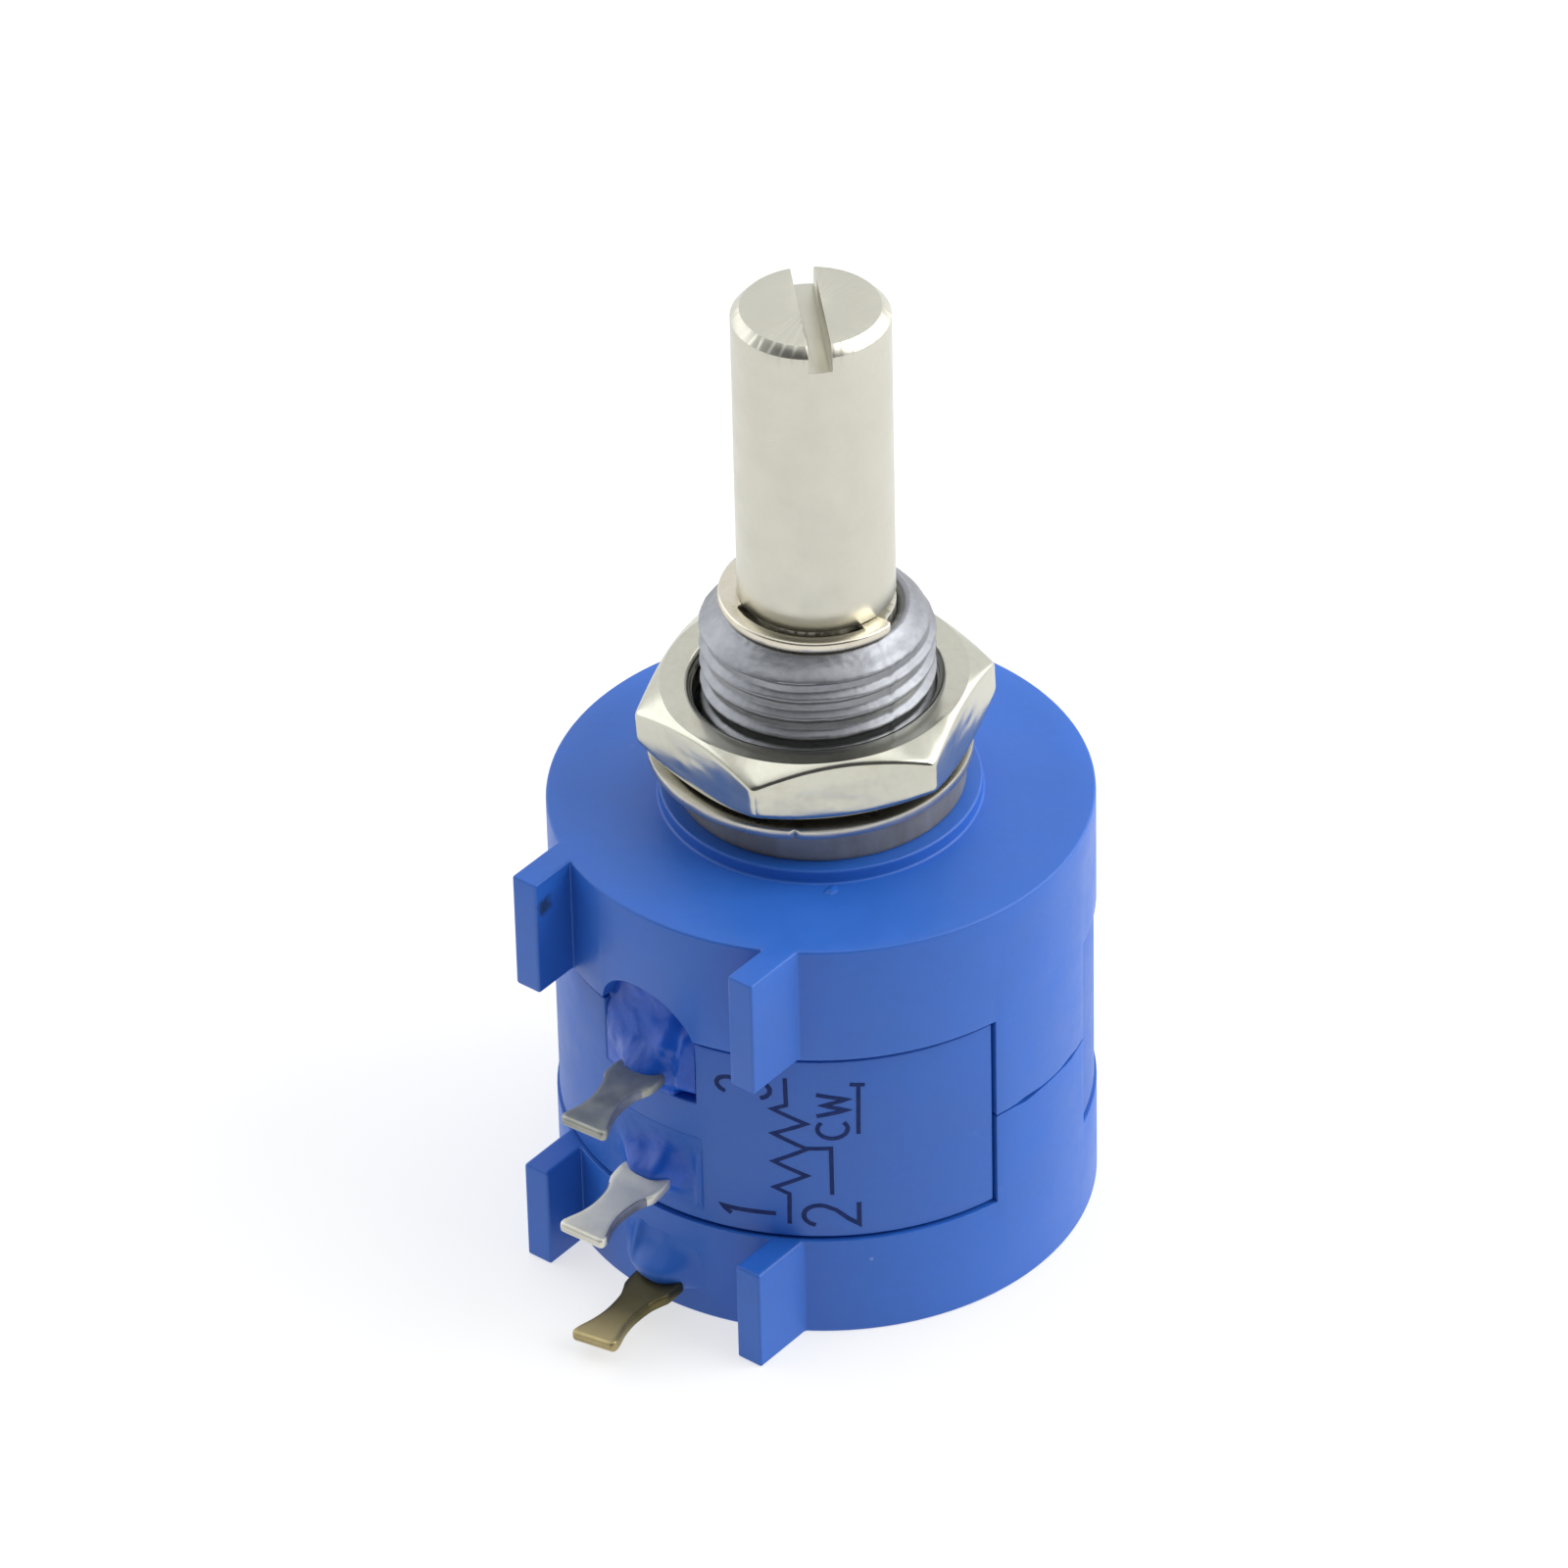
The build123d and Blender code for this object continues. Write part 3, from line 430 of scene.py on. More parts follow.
def plastic(name, base, rough, fine=5000.0, spread=0.12):
    mt = Mat(name)
    mt.set(color=mottled(mt, base, spread), rough=mt.ramp(mt.noise(700.0, 4, 0.6), [(0.3, rough - 0.06), (0.7, rough + 0.08)]),
           normal=mt.bump(mt.noise(fine, 3, 0.6), 0.2, 0.012), ior=1.5)
    return mt.m


m_black = plastic("plastic_black", lin(34, 34, 37), 0.48)
m_white = plastic("plastic_white", lin(222, 219, 208), 0.42)

# resistance wire: fine turns across the core, seen as bands along the helix
mt = Mat("wire_wound")
sep = mt.n("ShaderNodeSeparateXYZ")
mt.link(mt.co, sep.inputs[0])
ang = mt.math("ARCTAN2", sep.outputs[1], sep.outputs[0])
band = mt.math("SINE", mt.math("MULTIPLY", ang, 420.0))
ridge = mt.math("ABSOLUTE", band)
col = mt.mix(ridge, lin(92, 78, 62), lin(178, 164, 142))
mt.set(color=col, rough=0.36, metal=0.9, normal=mt.bump(ridge, 0.6, 0.03))
m_wire = mt.m


# ---------------------------------------------------------------------------
# housing shells: exact lattice of the real mouldings, edges rounded by size
# ---------------------------------------------------------------------------
def columns(exact, step=2.5, clear=0.9, fine=()):
    """sorted azimuths round the body: exact ones kept, regular ones between"""
    out = sorted(a % 360.0 for a in exact)
    n = int(round(360.0 / step))
    for k in range(n):
        a = k * step
        if all(min(abs(a - e), 360 - abs(a - e)) > clear for e in out[:len(exact)]):
            out.append(a)
    for lo, hi, st in fine:
        m = int(round((hi - lo) / st))
        keep = [a for a in out if not (lo < (a if a < 180 else a - 360) < hi and
                                       all(abs(a - e % 360.0) > 1e-6 for e in exact))]
        out = keep
        for k in range(1, m):
            a = (lo + (hi - lo) * k / m) % 360.0
            if all(min(abs(a - e), 360 - abs(a - e)) > st * 0.45 for e in out):
                out.append(a)
    return sorted(set(round(a, 6) for a in out))


def weigh(ob, rule, angle=30.0):
    """edge-bevel weights for every crease, from its midpoint in mm"""
    me = ob.data
    bm = bmesh.new()
    bm.from_mesh(me)
    layer = bm.edges.layers.float.get("bevel_weight_edge") or bm.edges.layers.float.new("bevel_weight_edge")
    for e in bm.edges:
        if len(e.link_faces) != 2:
            continue
        if e.calc_face_angle(0.0) > math.radians(angle):
            a, b = e.verts[0].co / MM, e.verts[1].co / MM
            e[layer] = rule((a + b) / 2, a, b)
    bm.to_mesh(me)
    bm.free()


def bevel_weighted(ob, width, segments=4):
    md = ob.modifiers.new("edge", "BEVEL")
    md.width = width * MM
    md.segments = segments
    md.limit_method = "WEIGHT"
    md.use_clamp_overlap = True
    md.harden_normals = False
    md.miter_outer = "MITER_ARC"
    bake(ob)
    shade(ob, 40.0)


def az_at(x, r=BODY_R):
    return math.degrees(math.asin(x / r))


POCKET_X0, POCKET_X1 = -2.75, 1.95
ARCH_C, ARCH_TOP = -0.55, 15.60
rib_az = [az_at(RIB_X0), az_at(RIB_X1)]
RIBS = [(rib_az[0], rib_az[1]), (360 - rib_az[1], 360 - rib_az[0])]
pock_az = [az_at(POCKET_X0, 10.9) % 360.0, az_at(POCKET_X1, 10.9)]
exact = rib_az + [360 - a for a in rib_az] + [BR0, BR1, 360 - BR0, 360 - BR1] + pock_az
COLS = columns(exact, 2.5, 0.9, fine=((pock_az[0] - 360.0, pock_az[1], 0.8),))
N = len(COLS)


def mid_az(i):
    a, b = COLS[i], COLS[(i + 1) % N]
    if b < a:
        b += 360.0
    return ((a + b) / 2) % 360.0


def in_rib(i):
    return any(a < mid_az(i) < b for a, b in RIBS)


def in_bridge(i):
    a = mid_az(i)
    return BR0 < a < BR1 or 360 - BR1 < a < 360 - BR0


def in_pocket(i):
    a = mid_az(i)
    a = a - 360 if a > 180 else a
    return pock_az[0] - 360.0 < a < pock_az[1]


def arch_rise(az):
    """how far the notch over the first terminal cuts up into the skirt"""
    a = az - 360 if az > 180 else az
    x = 10.9 * math.sin(math.radians(a))
    if abs(a) > 60.0 or x <= POCKET_X0 + 0.01 or x >= POCKET_X1 - 0.01:
        return 0.0
    half = (ARCH_C - POCKET_X0) if x < ARCH_C else (POCKET_X1 - ARCH_C)
    d = abs(x - ARCH_C) / half
    return (ARCH_TOP - WIN_HI) * (1 - d ** 2.2) ** (0.60 if x < ARCH_C else 0.8)


def ring_pos(rs, zs, arch_row=None):
    rib_k = len(rs)

    def pos(k, i, j):
        az = COLS[i]
        z = zs[j]
        if arch_row is not None and j == arch_row and k >= 2:
            z += arch_rise(az)
        if abs(z - SEAM) < 0.2:
            gape = 0.015 + 0.03 * max(0.0, nz(az * 0.9, 1.0, 4.0)) + 0.03 * max(0.0, nz(az * 0.16, 3.0, 1.0))
            gape += 0.085 * math.exp(-((az - 86.0) / 2.6) ** 2) + 0.075 * math.exp(-((az - 101.5) / 2.2) ** 2)
            z += gape if z > SEAM else -gape
        if k == rib_k:
            x, y, _ = polar(BODY_R, az)
            return (x, -RIB_Y, z)
        return polar(rs[k], az, z)
    return pos


# ---- front shell
F_R = [4.62, COLLAR_R, WALL_IN, BODY_R]
F_Z = [SEAM + 0.03, WIN_HI, BODY_L - 1.4, BODY_L, COLLAR_TOP]


def f_full(k, i, j):
    if k == 0:
        return j in (2, 3)
    if k == 1:
        return j == 2
    if k == 2:
        return j in (1, 2) or (j == 0 and in_bridge(i))
    return k == 3 and in_rib(i) and j in (1, 2)


def shell_rule(front):
    top = BODY_L if front else 0.0

    def rule(m, a, b):
        r = math.hypot(m.x, m.y)
        rib = abs(m.y + RIB_Y) < 0.02 or (r > BODY_R + 0.05)
        flat = abs(a.z - b.z) < 0.01
        if rib:
            # the ends of the ribs at the window are rounded most
            return 0.95 if flat and abs(m.z - (WIN_HI if front else WIN_LO)) < 0.05 else 0.62
        if r < WALL_IN + 0.05 and not (front and m.z > BODY_L - 0.01):
            return 0.0
        if flat and abs(m.z - top) < 0.02 and r > 10.9:
            return 0.74
        if front and flat and abs(m.z - COLLAR_TOP) < 0.02 and r > 6.0:
            return 0.70
        if front and flat and abs(m.z - BODY_L) < 0.02 and r < 7.0:
            return 0.74
        if not flat and abs(abs(m.x) - RIB_X0) < 0.03 or (not flat and abs(abs(m.x) - RIB_X1) < 0.03):
            return 0.52
        return 0.20
    return rule


front = cells("front_shell_moulding", 4, N, 4, f_full, ring_pos(F_R, F_Z, arch_row=1), m_shell, "housing",
              ["front_shell"])
weigh(front, shell_rule(True))
bevel_weighted(front, 0.38)

# ---- rear shell, with its plain rear face and a shallow ring recess in it
R_R = [0.0, 3.0, 9.2, WALL_IN, BODY_R]
R_Z = [0.0, 0.15, 1.4, WIN_LO, SEAM - 0.03]


def r_full(k, i, j):
    if k in (0, 2, 3):
        return j in (0, 1) or (k == 3 and (j == 2 or (j == 3 and in_bridge(i))))
    if k == 1:
        return j == 1
    return k == 4 and in_rib(i) and j in (0, 1, 2)


def rear_cells():
    idx, verts, faces = {}, [], []
    base = ring_pos(R_R, R_Z)

    def v(k, i, j):
        i = 0 if k == 0 else i % N
        if (k, i, j) not in idx:
            idx[(k, i, j)] = len(verts)
            verts.append(base(k, i, j))
        return idx[(k, i, j)]

    def full(k, i, j):
        return 0 <= k < 5 and 0 <= j < 4 and r_full(k, i % N, j)

    def add(*q):
        out = []
        for x in q:
            if not out or out[-1] != x:
                out.append(x)
        if out[0] == out[-1]:
            out.pop()
        if len(out) >= 3:
            faces.append(tuple(out))

    for k in range(5):
        for i in range(N):
            for j in range(4):
                if not full(k, i, j):
                    continue
                if not full(k + 1, i, j):
                    add(v(k + 1, i, j), v(k + 1, i + 1, j), v(k + 1, i + 1, j + 1), v(k + 1, i, j + 1))
                if k > 0 and not full(k - 1, i, j):
                    add(v(k, i, j), v(k, i, j + 1), v(k, i + 1, j + 1), v(k, i + 1, j))
                if not full(k, i + 1, j):
                    add(v(k, i + 1, j), v(k, i + 1, j + 1), v(k + 1, i + 1, j + 1), v(k + 1, i + 1, j))
                if not full(k, i - 1, j):
                    add(v(k, i, j), v(k + 1, i, j), v(k + 1, i, j + 1), v(k, i, j + 1))
                if not full(k, i, j + 1):
                    add(v(k, i, j + 1), v(k + 1, i, j + 1), v(k + 1, i + 1, j + 1), v(k, i + 1, j + 1))
                if not full(k, i, j - 1):
                    add(v(k, i, j), v(k, i + 1, j), v(k + 1, i + 1, j), v(k + 1, i, j))
    return make("rear_shell_moulding", verts, faces, m_shell, "housing", ["rear_shell"])


rear = rear_cells()
weigh(rear, shell_rule(False))
bevel_weighted(rear, 0.38)

# ---- coil housing: the panels in the two windows, with terminal pockets
PANEL_R = 11.0
C_R = [9.04, 10.05, 10.12, PANEL_R]
C_Z = [1.42, WIN_LO + 0.15, 5.50, 8.80, 10.75, WIN_HI - 0.15, 17.88]


def c_full(k, i, j):
    pocket = in_pocket(i) and j in (2, 4)
    if k == 0:
        return True
    if k == 1:
        return not pocket
    return k == 2 and 1 <= j <= 4 and not in_bridge(i) and not pocket


def c_pos(k, i, j):
    az = COLS[i]
    if k >= 2:
        # panels stop a little short of the bridges
        for edge, s in ((BR0, -1), (BR1, 1), (360 - BR1, -1), (360 - BR0, 1)):
            if abs(az - edge) < 1e-4:
                az += s * 0.65
    return polar(C_R[k], az, C_Z[j])


coil = cells("coil_housing_moulding", 3, N, 6, c_full, c_pos, m_inner, "housing", ["coil_housing"])


def coil_rule(m, a, b):
    return 0.5 if math.hypot(m.x, m.y) > 10.9 else 0.0


weigh(coil, coil_rule)
bevel_weighted(coil, 0.16, 3)

# ---------------------------------------------------------------------------
# mounting bushing: boss, threaded barrel with worn crests, lead-in, parting flaw
# ---------------------------------------------------------------------------
PITCH, BR, BTOP, BOSS_TOP = 0.907, 4.7625, 28.49, 21.50
THREAD_LOW = BOSS_TOP + 0.15
B_SEG = 320


def thread_r(z, az):
    ca, sa = math.cos(math.radians(az)), math.sin(math.radians(az))
    # crests pass z 26.95 at azimuth 35; a slight waver of the worn thread
    ph = ((z - 26.90 + 0.5 * PITCH) / PITCH - (az - 35.0) / 360.0 + 0.02 * nz(sa * 3, ca * 3, z * 0.6)) % 1.0
    d = 1.0 - abs(ph - 0.5) * 2.0                # 1 at the crest, 0 at the root
    wear = 0.5 + 0.5 * nz(sa * 2.2, ca * 2.2, z * 0.9)
    flank = min(1.0, max(0.0, (d - 0.30) / 0.66))
    flank = flank * flank * (3 - 2 * flank)
    depth = 0.30 - 0.08 * wear
    # bruised crests: short stretches pressed in
    bruise = nz(sa * 5.5 + 3.1, ca * 5.5, z * 1.7)
    crest = BR - 0.05 * max(0.0, bruise) * flank - 0.015
    r = crest - depth * (1 - flank)
    # a sharper lip left along the top of each crest
    r += 0.010 * math.exp(-((ph - 0.56) / 0.06) ** 2)
    r += 0.010 * nz(sa * 26, ca * 26, z * 6.0) + 0.008 * nz(sa * 60, ca * 60, z * 14.0)
    # mould parting line on two opposite sides: a shallow ragged scar
    for c in (79.0, 259.0):
        da = abs((az - c + 180) % 360 - 180)
        w = 2.2 + 1.2 * nz(c, z * 1.3, 0.5)
        if da < w:
            s = math.cos(da / w * math.pi / 2) ** 2
            r = r * (1 - s * 0.4) + (BR - 0.13 - 0.08 * nz(z * 2.1, c, 0.0)) * s * 0.4
    return r


def smin(a, b, k):
    m = min(a, b)
    return m - k * math.log(math.exp(-(a - m) / k) + math.exp(-(b - m) / k))


outline = []
outline += [(3.20, 17.45, 0), (5.15, 17.45, 0), (5.30, 17.60, 0), (5.30, 17.89, 0), (4.60, 17.89, 0), (4.60, 19.905, 0)]
outline += [(5.72, 19.905, 0)] + [(r, z, 0) for r, z in arc_pts(5.78, 19.98, 0.10, -80, 0, 3)]
zz = 20.05
while zz < BOSS_TOP - 0.22:
    outline.append((5.90, zz, 1))
    zz += 0.12
outline += [(r, z, 0) for r, z in arc_pts(5.72, BOSS_TOP - 0.18, 0.18, 0, 90, 5)]
outline += [(5.2, BOSS_TOP, 0), (4.60, BOSS_TOP, 0)]
z = THREAD_LOW
while z < BTOP - 0.02:
    outline.append((BR, z, 2))
    z += 0.05
outline += [(3.70, BTOP + 0.01, 0), (3.56, BTOP, 0), (3.50, BTOP - 0.02, 0), (3.22, BTOP - 0.30, 0)]


def bush_shape(r, z, az, q):
    kind = outline[q][2]
    if kind == 2:
        t = thread_r(z, az)
        a = math.radians(az)
        lead = 3.76 + (BTOP - z) * 1.08 + 0.030 * nz(math.cos(a) * 3, math.sin(a) * 3, z * 2.0)
        lead += 0.016 * nz(math.cos(a) * 16, math.sin(a) * 16, z * 9.0)
        # the thread still shows faintly across the lead-in
        lead += 0.30 * (t - (BR - 0.16))
        r = smin(t, lead, 0.03)
        if z < THREAD_LOW + 0.6:
            f = (z - THREAD_LOW) / 0.6
            r = r * f + 4.45 * (1 - f)
    elif kind == 1:
        a = math.radians(az)
        r += 0.010 * nz(math.sin(a) * 3, math.cos(a) * 3, z * 6.0) + 0.006 * nz(math.sin(a) * 14, math.cos(a) * 14, z * 1.5)
    return r, z


bush = lathe("bushing_cast_threaded", [(r, z) for r, z, _ in outline], B_SEG, [m_bush, m_boss], "housing",
             ["mounting_bushing"], 55.0, bush_shape, lambda q: 1 if outline[q][1] < BOSS_TOP + 0.01 else 0)

# ---------------------------------------------------------------------------
# hexagonal nut: chamfered on both faces, countersunk, leaning on its thread
# ---------------------------------------------------------------------------
NUT_AF, NUT_T, NUT_FACE, NUT_SLOPE, NUT_BORE, NUT_SINK = 12.72, 2.68, 6.20, 30.0, 4.96, 0.24
NUT_TILT = 1.9
h = NUT_T / 2
tan_s = math.tan(math.radians(NUT_SLOPE))
low = Vector(polar(1.0, -75.0))
lean = Vector(polar(1.0, -50.7))
tl = math.radians(NUT_TILT)
zax = Vector((math.sin(tl) * low.x, math.sin(tl) * low.y, math.cos(tl)))
xax = Vector(polar(1.0, 18.5))
xax = (xax - zax * xax.dot(zax)).normalized()
yax = zax.cross(xax)
NUT_C = Vector((0.12 * lean.x, 0.12 * lean.y, 23.53))


def hex_r(a):
    """outer radius of the prism at local angle a, corners at 0, 60, ..."""
    r = 99.0
    for k in range(6):
        d = math.radians(a - 30.0 - 60.0 * k)
        c = math.cos(d)
        if c > 0.3:
            r = smin(r, (NUT_AF / 2) / c, 0.075)
    return r


prof = []
m = 54
for t in range(m + 1):
    # rows crowd towards the two faces
    u = -math.cos(math.pi * t / m)
    prof.append(("side", u * h))
EDGE = 0.40                                      # rounding of the bore's two edges
prof += [("r", NUT_FACE - 0.06, h - 0.004), ("r", NUT_FACE - 0.22, h), ("r", NUT_FACE - 0.45, h)]
for t in range(9):
    a = math.radians(90.0 * t / 8)
    prof.append(("r", NUT_BORE + 0.04 + EDGE - EDGE * math.sin(a), h - EDGE + EDGE * math.cos(a)))
zb = h - EDGE - 0.06
while zb > -(h - EDGE - 0.03):
    prof.append(("bore", zb))
    zb -= 0.08
for t in range(8, -1, -1):
    a = math.radians(90.0 * t / 8)
    prof.append(("r", NUT_BORE + 0.04 + EDGE - EDGE * math.sin(a), -h + EDGE - EDGE * math.cos(a)))
prof += [("r", NUT_FACE - 0.45, -h), ("r", NUT_FACE - 0.22, -h), ("r", NUT_FACE - 0.06, -h + 0.004)]
NSEG = 576
verts, faces = [], []
n = len(prof)
for i in range(NSEG):
    a = 360.0 * i / NSEG
    hr = hex_r(a)
    ca, sa = math.cos(math.radians(a)), math.sin(math.radians(a))
    for p in prof:
        if p[0] == "side":
            z = p[1]
            r_ch = NUT_FACE + (h - abs(z)) / tan_s
            r = smin(hr, r_ch, 0.105) + 0.034
            r += 0.014 * nz(ca * 2.1, sa * 2.1, z * 1.2) + 0.007 * nz(ca * 5, sa * 5, z * 2.2)
            if abs(z) < h * 0.6:
                r += 0.004 * nz(ca * 9, sa * 9, z * 3.0)
        elif p[0] == "bore":
            z = p[1]
            ph = (z / PITCH - a / 360.0) % 1.0
            r = NUT_BORE + 0.02 - 0.10 * (1 - abs(ph - 0.5) * 2)
        else:
            r, z = p[1], p[2]
            if abs(z) > h - 0.01:
                z -= math.copysign(0.010 * (0.5 + 0.5 * nz(ca * r * 0.5, sa * r * 0.5, 4.0)), z)
        v = NUT_C + xax * (r * ca) + yax * (r * sa) + zax * z
        verts.append(tuple(v))
for i in range(NSEG):
    for q in range(n):
        a, b = i * n + q, i * n + (q + 1) % n
        c, d = ((i + 1) % NSEG) * n + (q + 1) % n, ((i + 1) % NSEG) * n + q
        faces.append((a, b, c, d))
nut = make("hex_nut_chamfered", verts, faces, m_nut, "housing", ["hex_nut"], 40.0)

# ---------------------------------------------------------------------------
# lock washer: thin, off centre on the boss, with a nick in its edge
# ---------------------------------------------------------------------------
W_C = Vector((0.38 * lean.x, 0.38 * lean.y, 0.0))
W_R, W_T, W_IN = 6.60, 0.42, 5.72
NICK_AZ = 33.0


def washer_in(az):
    t = abs((az % (360 / 14.0)) / (360 / 14.0) - 0.5) * 2
    return W_IN - 0.48 * max(0.0, min(1.0, (0.62 - t) / 0.12))


w_rows = [("o", -0.5), ("o", -0.34), ("o", 0.0), ("o", 0.34), ("o", 0.5)]
verts, faces = [], []
WSEG = 360
wprof = []
for i in range(WSEG):
    az = i * 360.0 / WSEG
    da = abs((az - NICK_AZ + 180) % 360 - 180)
    nick = 0.16 * max(0.0, 1 - da / 1.6)
    ro = W_R - nick + 0.006 * nz(math.sin(math.radians(az)) * 6, math.cos(math.radians(az)) * 6, 0.0)
    ri = washer_in(az)
    e = 0.06
    ring_q = [(ro - e, 0.0), (ro - e * 0.3, e * 0.3), (ro, e), (ro, W_T - e), (ro - e * 0.3, W_T - e * 0.3), (ro - e, W_T),
              (W_R - 0.5, W_T), (ri + 0.03, W_T), (ri, W_T - 0.03), (ri, 0.03), (ri + 0.03, 0.0), (W_R - 0.5, 0.0)]
    wn = len(ring_q)
    for r, z in ring_q:
        x, y, _ = polar(r, az)
        verts.append((W_C.x + x, W_C.y + y, BOSS_TOP + z))
for i in range(WSEG):
    for q in range(wn):
        faces.append((i * wn + q, i * wn + (q + 1) % wn, ((i + 1) % WSEG) * wn + (q + 1) % wn, ((i + 1) % WSEG) * wn + q))
make("lock_washer_stamped", verts, faces, m_washer, "housing", ["lock_washer"], 40.0)

# ---------------------------------------------------------------------------
# retaining ring: open, rounded edges, three prongs in the shaft groove
# ---------------------------------------------------------------------------
RZ, RT, RR, RI = 28.68, 0.46, 3.95, 3.38


def sweep_ring(name, a0, a1, step, section, mats, body, replaces, smooth=40.0):
    k = int(round((a1 - a0) / step))
    verts, faces, n = [], [], None
    for i in range(k + 1):
        az = a0 + (a1 - a0) * i / k
        sec = section(az)
        n = len(sec)
        for r, z in sec:
            verts.append(polar(r, az, z))
    for i in range(k):
        for q in range(n):
            faces.append((i * n + q, i * n + (q + 1) % n, (i + 1) * n + (q + 1) % n, (i + 1) * n + q))
    faces.append(tuple(range(n)))
    faces.append(tuple(range(k * n, (k + 1) * n))[::-1])
    return make(name, verts, faces, mats, body, replaces, smooth)


def ring_section(az):
    # distance into the nearest prong
    p = 0.0
    for c, half in ((178.0, 8.4), (309.0, 21.0), (440.0, 8.4)):
        d = abs(az - c)
        p = max(p, min(1.0, max(0.0, (half - d) / 2.4)))
    ri = RI - (RI - 2.75) * p * p * (3 - 2 * p)
    endd = min(az - 170.0, 448.0 - az)
    ro = RR - 0.10 * max(0.0, 1 - endd / 2.5)
    e = 0.13
    out = [(ro - e, RZ), (ro - 0.035, RZ + 0.035), (ro, RZ + e), (ro, RZ + RT - e), (ro - 0.012, RZ + RT - 0.08),
           (ro - 0.035, RZ + RT - 0.035), (ro - 0.08, RZ + RT - 0.012), (ro - e, RZ + RT), (ri + 0.08, RZ + RT),
           (ri + 0.024, RZ + RT - 0.024), (ri, RZ + RT - 0.08), (ri, RZ + 0.05), (ri + 0.05, RZ)]
    return out


ring = sweep_ring("retaining_ring_open", 170.0, 448.0, 1.5, ring_section, m_ring, "rotor",
                  ["retaining_ring"])

# ---------------------------------------------------------------------------
# shaft: turned rod, clip groove, chamfered end, screwdriver slot
# ---------------------------------------------------------------------------
SR, STOP = 3.175, 42.55
s_out = [(0.0, 0.86), (1.30, 0.86), (1.48, 1.05), (1.48, 2.48), (2.38, 2.48), (2.38, 16.97), (SR, 16.97),
         (SR, RZ - 0.02), (2.72, RZ - 0.02), (2.72, RZ + RT + 0.02), (SR - 0.02, RZ + RT + 0.02), (SR, RZ + RT + 0.06),
         (SR, 30.2), (SR, 31.6), (SR, 33.2), (SR, 34.8), (SR, 36.4), (SR, 38.0), (SR, 39.6), (SR, 40.6), (SR, 41.2),
         (SR, 41.49), (SR, STOP - 0.40), (SR - 0.37, STOP), (0.0, STOP)]
S_SEG = 160
verts, faces = [], []
n = len(s_out)
pole0, pole1 = 0, 1
verts = [(0, 0, s_out[0][1]), (0, 0, s_out[-1][1])]
for i in range(S_SEG):
    for r, z in s_out[1:-1]:
        verts.append(polar(r, 360.0 * i / S_SEG, z))
mrow = n - 2
for i in range(S_SEG):
    a0, b0 = 2 + i * mrow, 2 + ((i + 1) % S_SEG) * mrow
    for q in range(mrow - 1):
        faces.append((a0 + q, b0 + q, b0 + q + 1, a0 + q + 1))
    faces.append((0, b0, a0))
    faces.append((1, a0 + mrow - 1, b0 + mrow - 1))
shaft = make("shaft_turned", verts, faces, m_shaft, "rotor", ["shaft"], 35.0)

cut = bpy.data.meshes.new("slot_cutter")
w, d, L = 0.47, 1.03, 5.0
ca, sa = Vector(polar(1.0, 45.3)), Vector(polar(1.0, 135.3))
cv = []
for z in (STOP - d, STOP + 1.0):
    for s, t in ((-1, -1), (1, -1), (1, 1), (-1, 1)):
        p = ca * (s * L) + sa * (t * w)
        cv.append(((p.x) * MM, (p.y) * MM, z * MM))
cut.from_pydata(cv, [], [(3, 2, 1, 0), (4, 5, 6, 7), (0, 1, 5, 4), (1, 2, 6, 5), (2, 3, 7, 6), (3, 0, 4, 7)])
cutter = bpy.data.objects.new("slot_cutter", cut)
scene.collection.objects.link(cutter)
md = shaft.modifiers.new("slot", "BOOLEAN")
md.object = cutter
md.operation = "DIFFERENCE"
md.solver = "EXACT"
bake(shaft)
bpy.data.objects.remove(cutter)
bevel(shaft, 0.045, 2, 28.0)
bake(shaft)
shade(shaft, 38.0)

# ---------------------------------------------------------------------------
# solder lugs: flat hourglass strips with rounded edges, leaning and drooping
# ---------------------------------------------------------------------------
def smooth(pts, t):
    """monotone cubic through (t, value) pairs"""
    if t <= pts[0][0]:
        return pts[0][1]
    for (a, va), (b, vb) in zip(pts, pts[1:]):
        if t <= b:
            s = (t - a) / (b - a)
            i = pts.index((a, va))
            m0 = (vb - pts[i - 1][1]) / (b - pts[i - 1][0]) if i > 0 else (vb - va) / (b - a)
            nxt = pts[i + 2] if i + 2 < len(pts) else None
            m1 = (nxt[1] - va) / (nxt[0] - a) if nxt else (vb - va) / (b - a)
            h = b - a
            return ((2 * s ** 3 - 3 * s ** 2 + 1) * va + (s ** 3 - 2 * s ** 2 + s) * h * m0 +
                    (-2 * s ** 3 + 3 * s ** 2) * vb + (s ** 3 - s ** 2) * h * m1)
    return pts[-1][1]


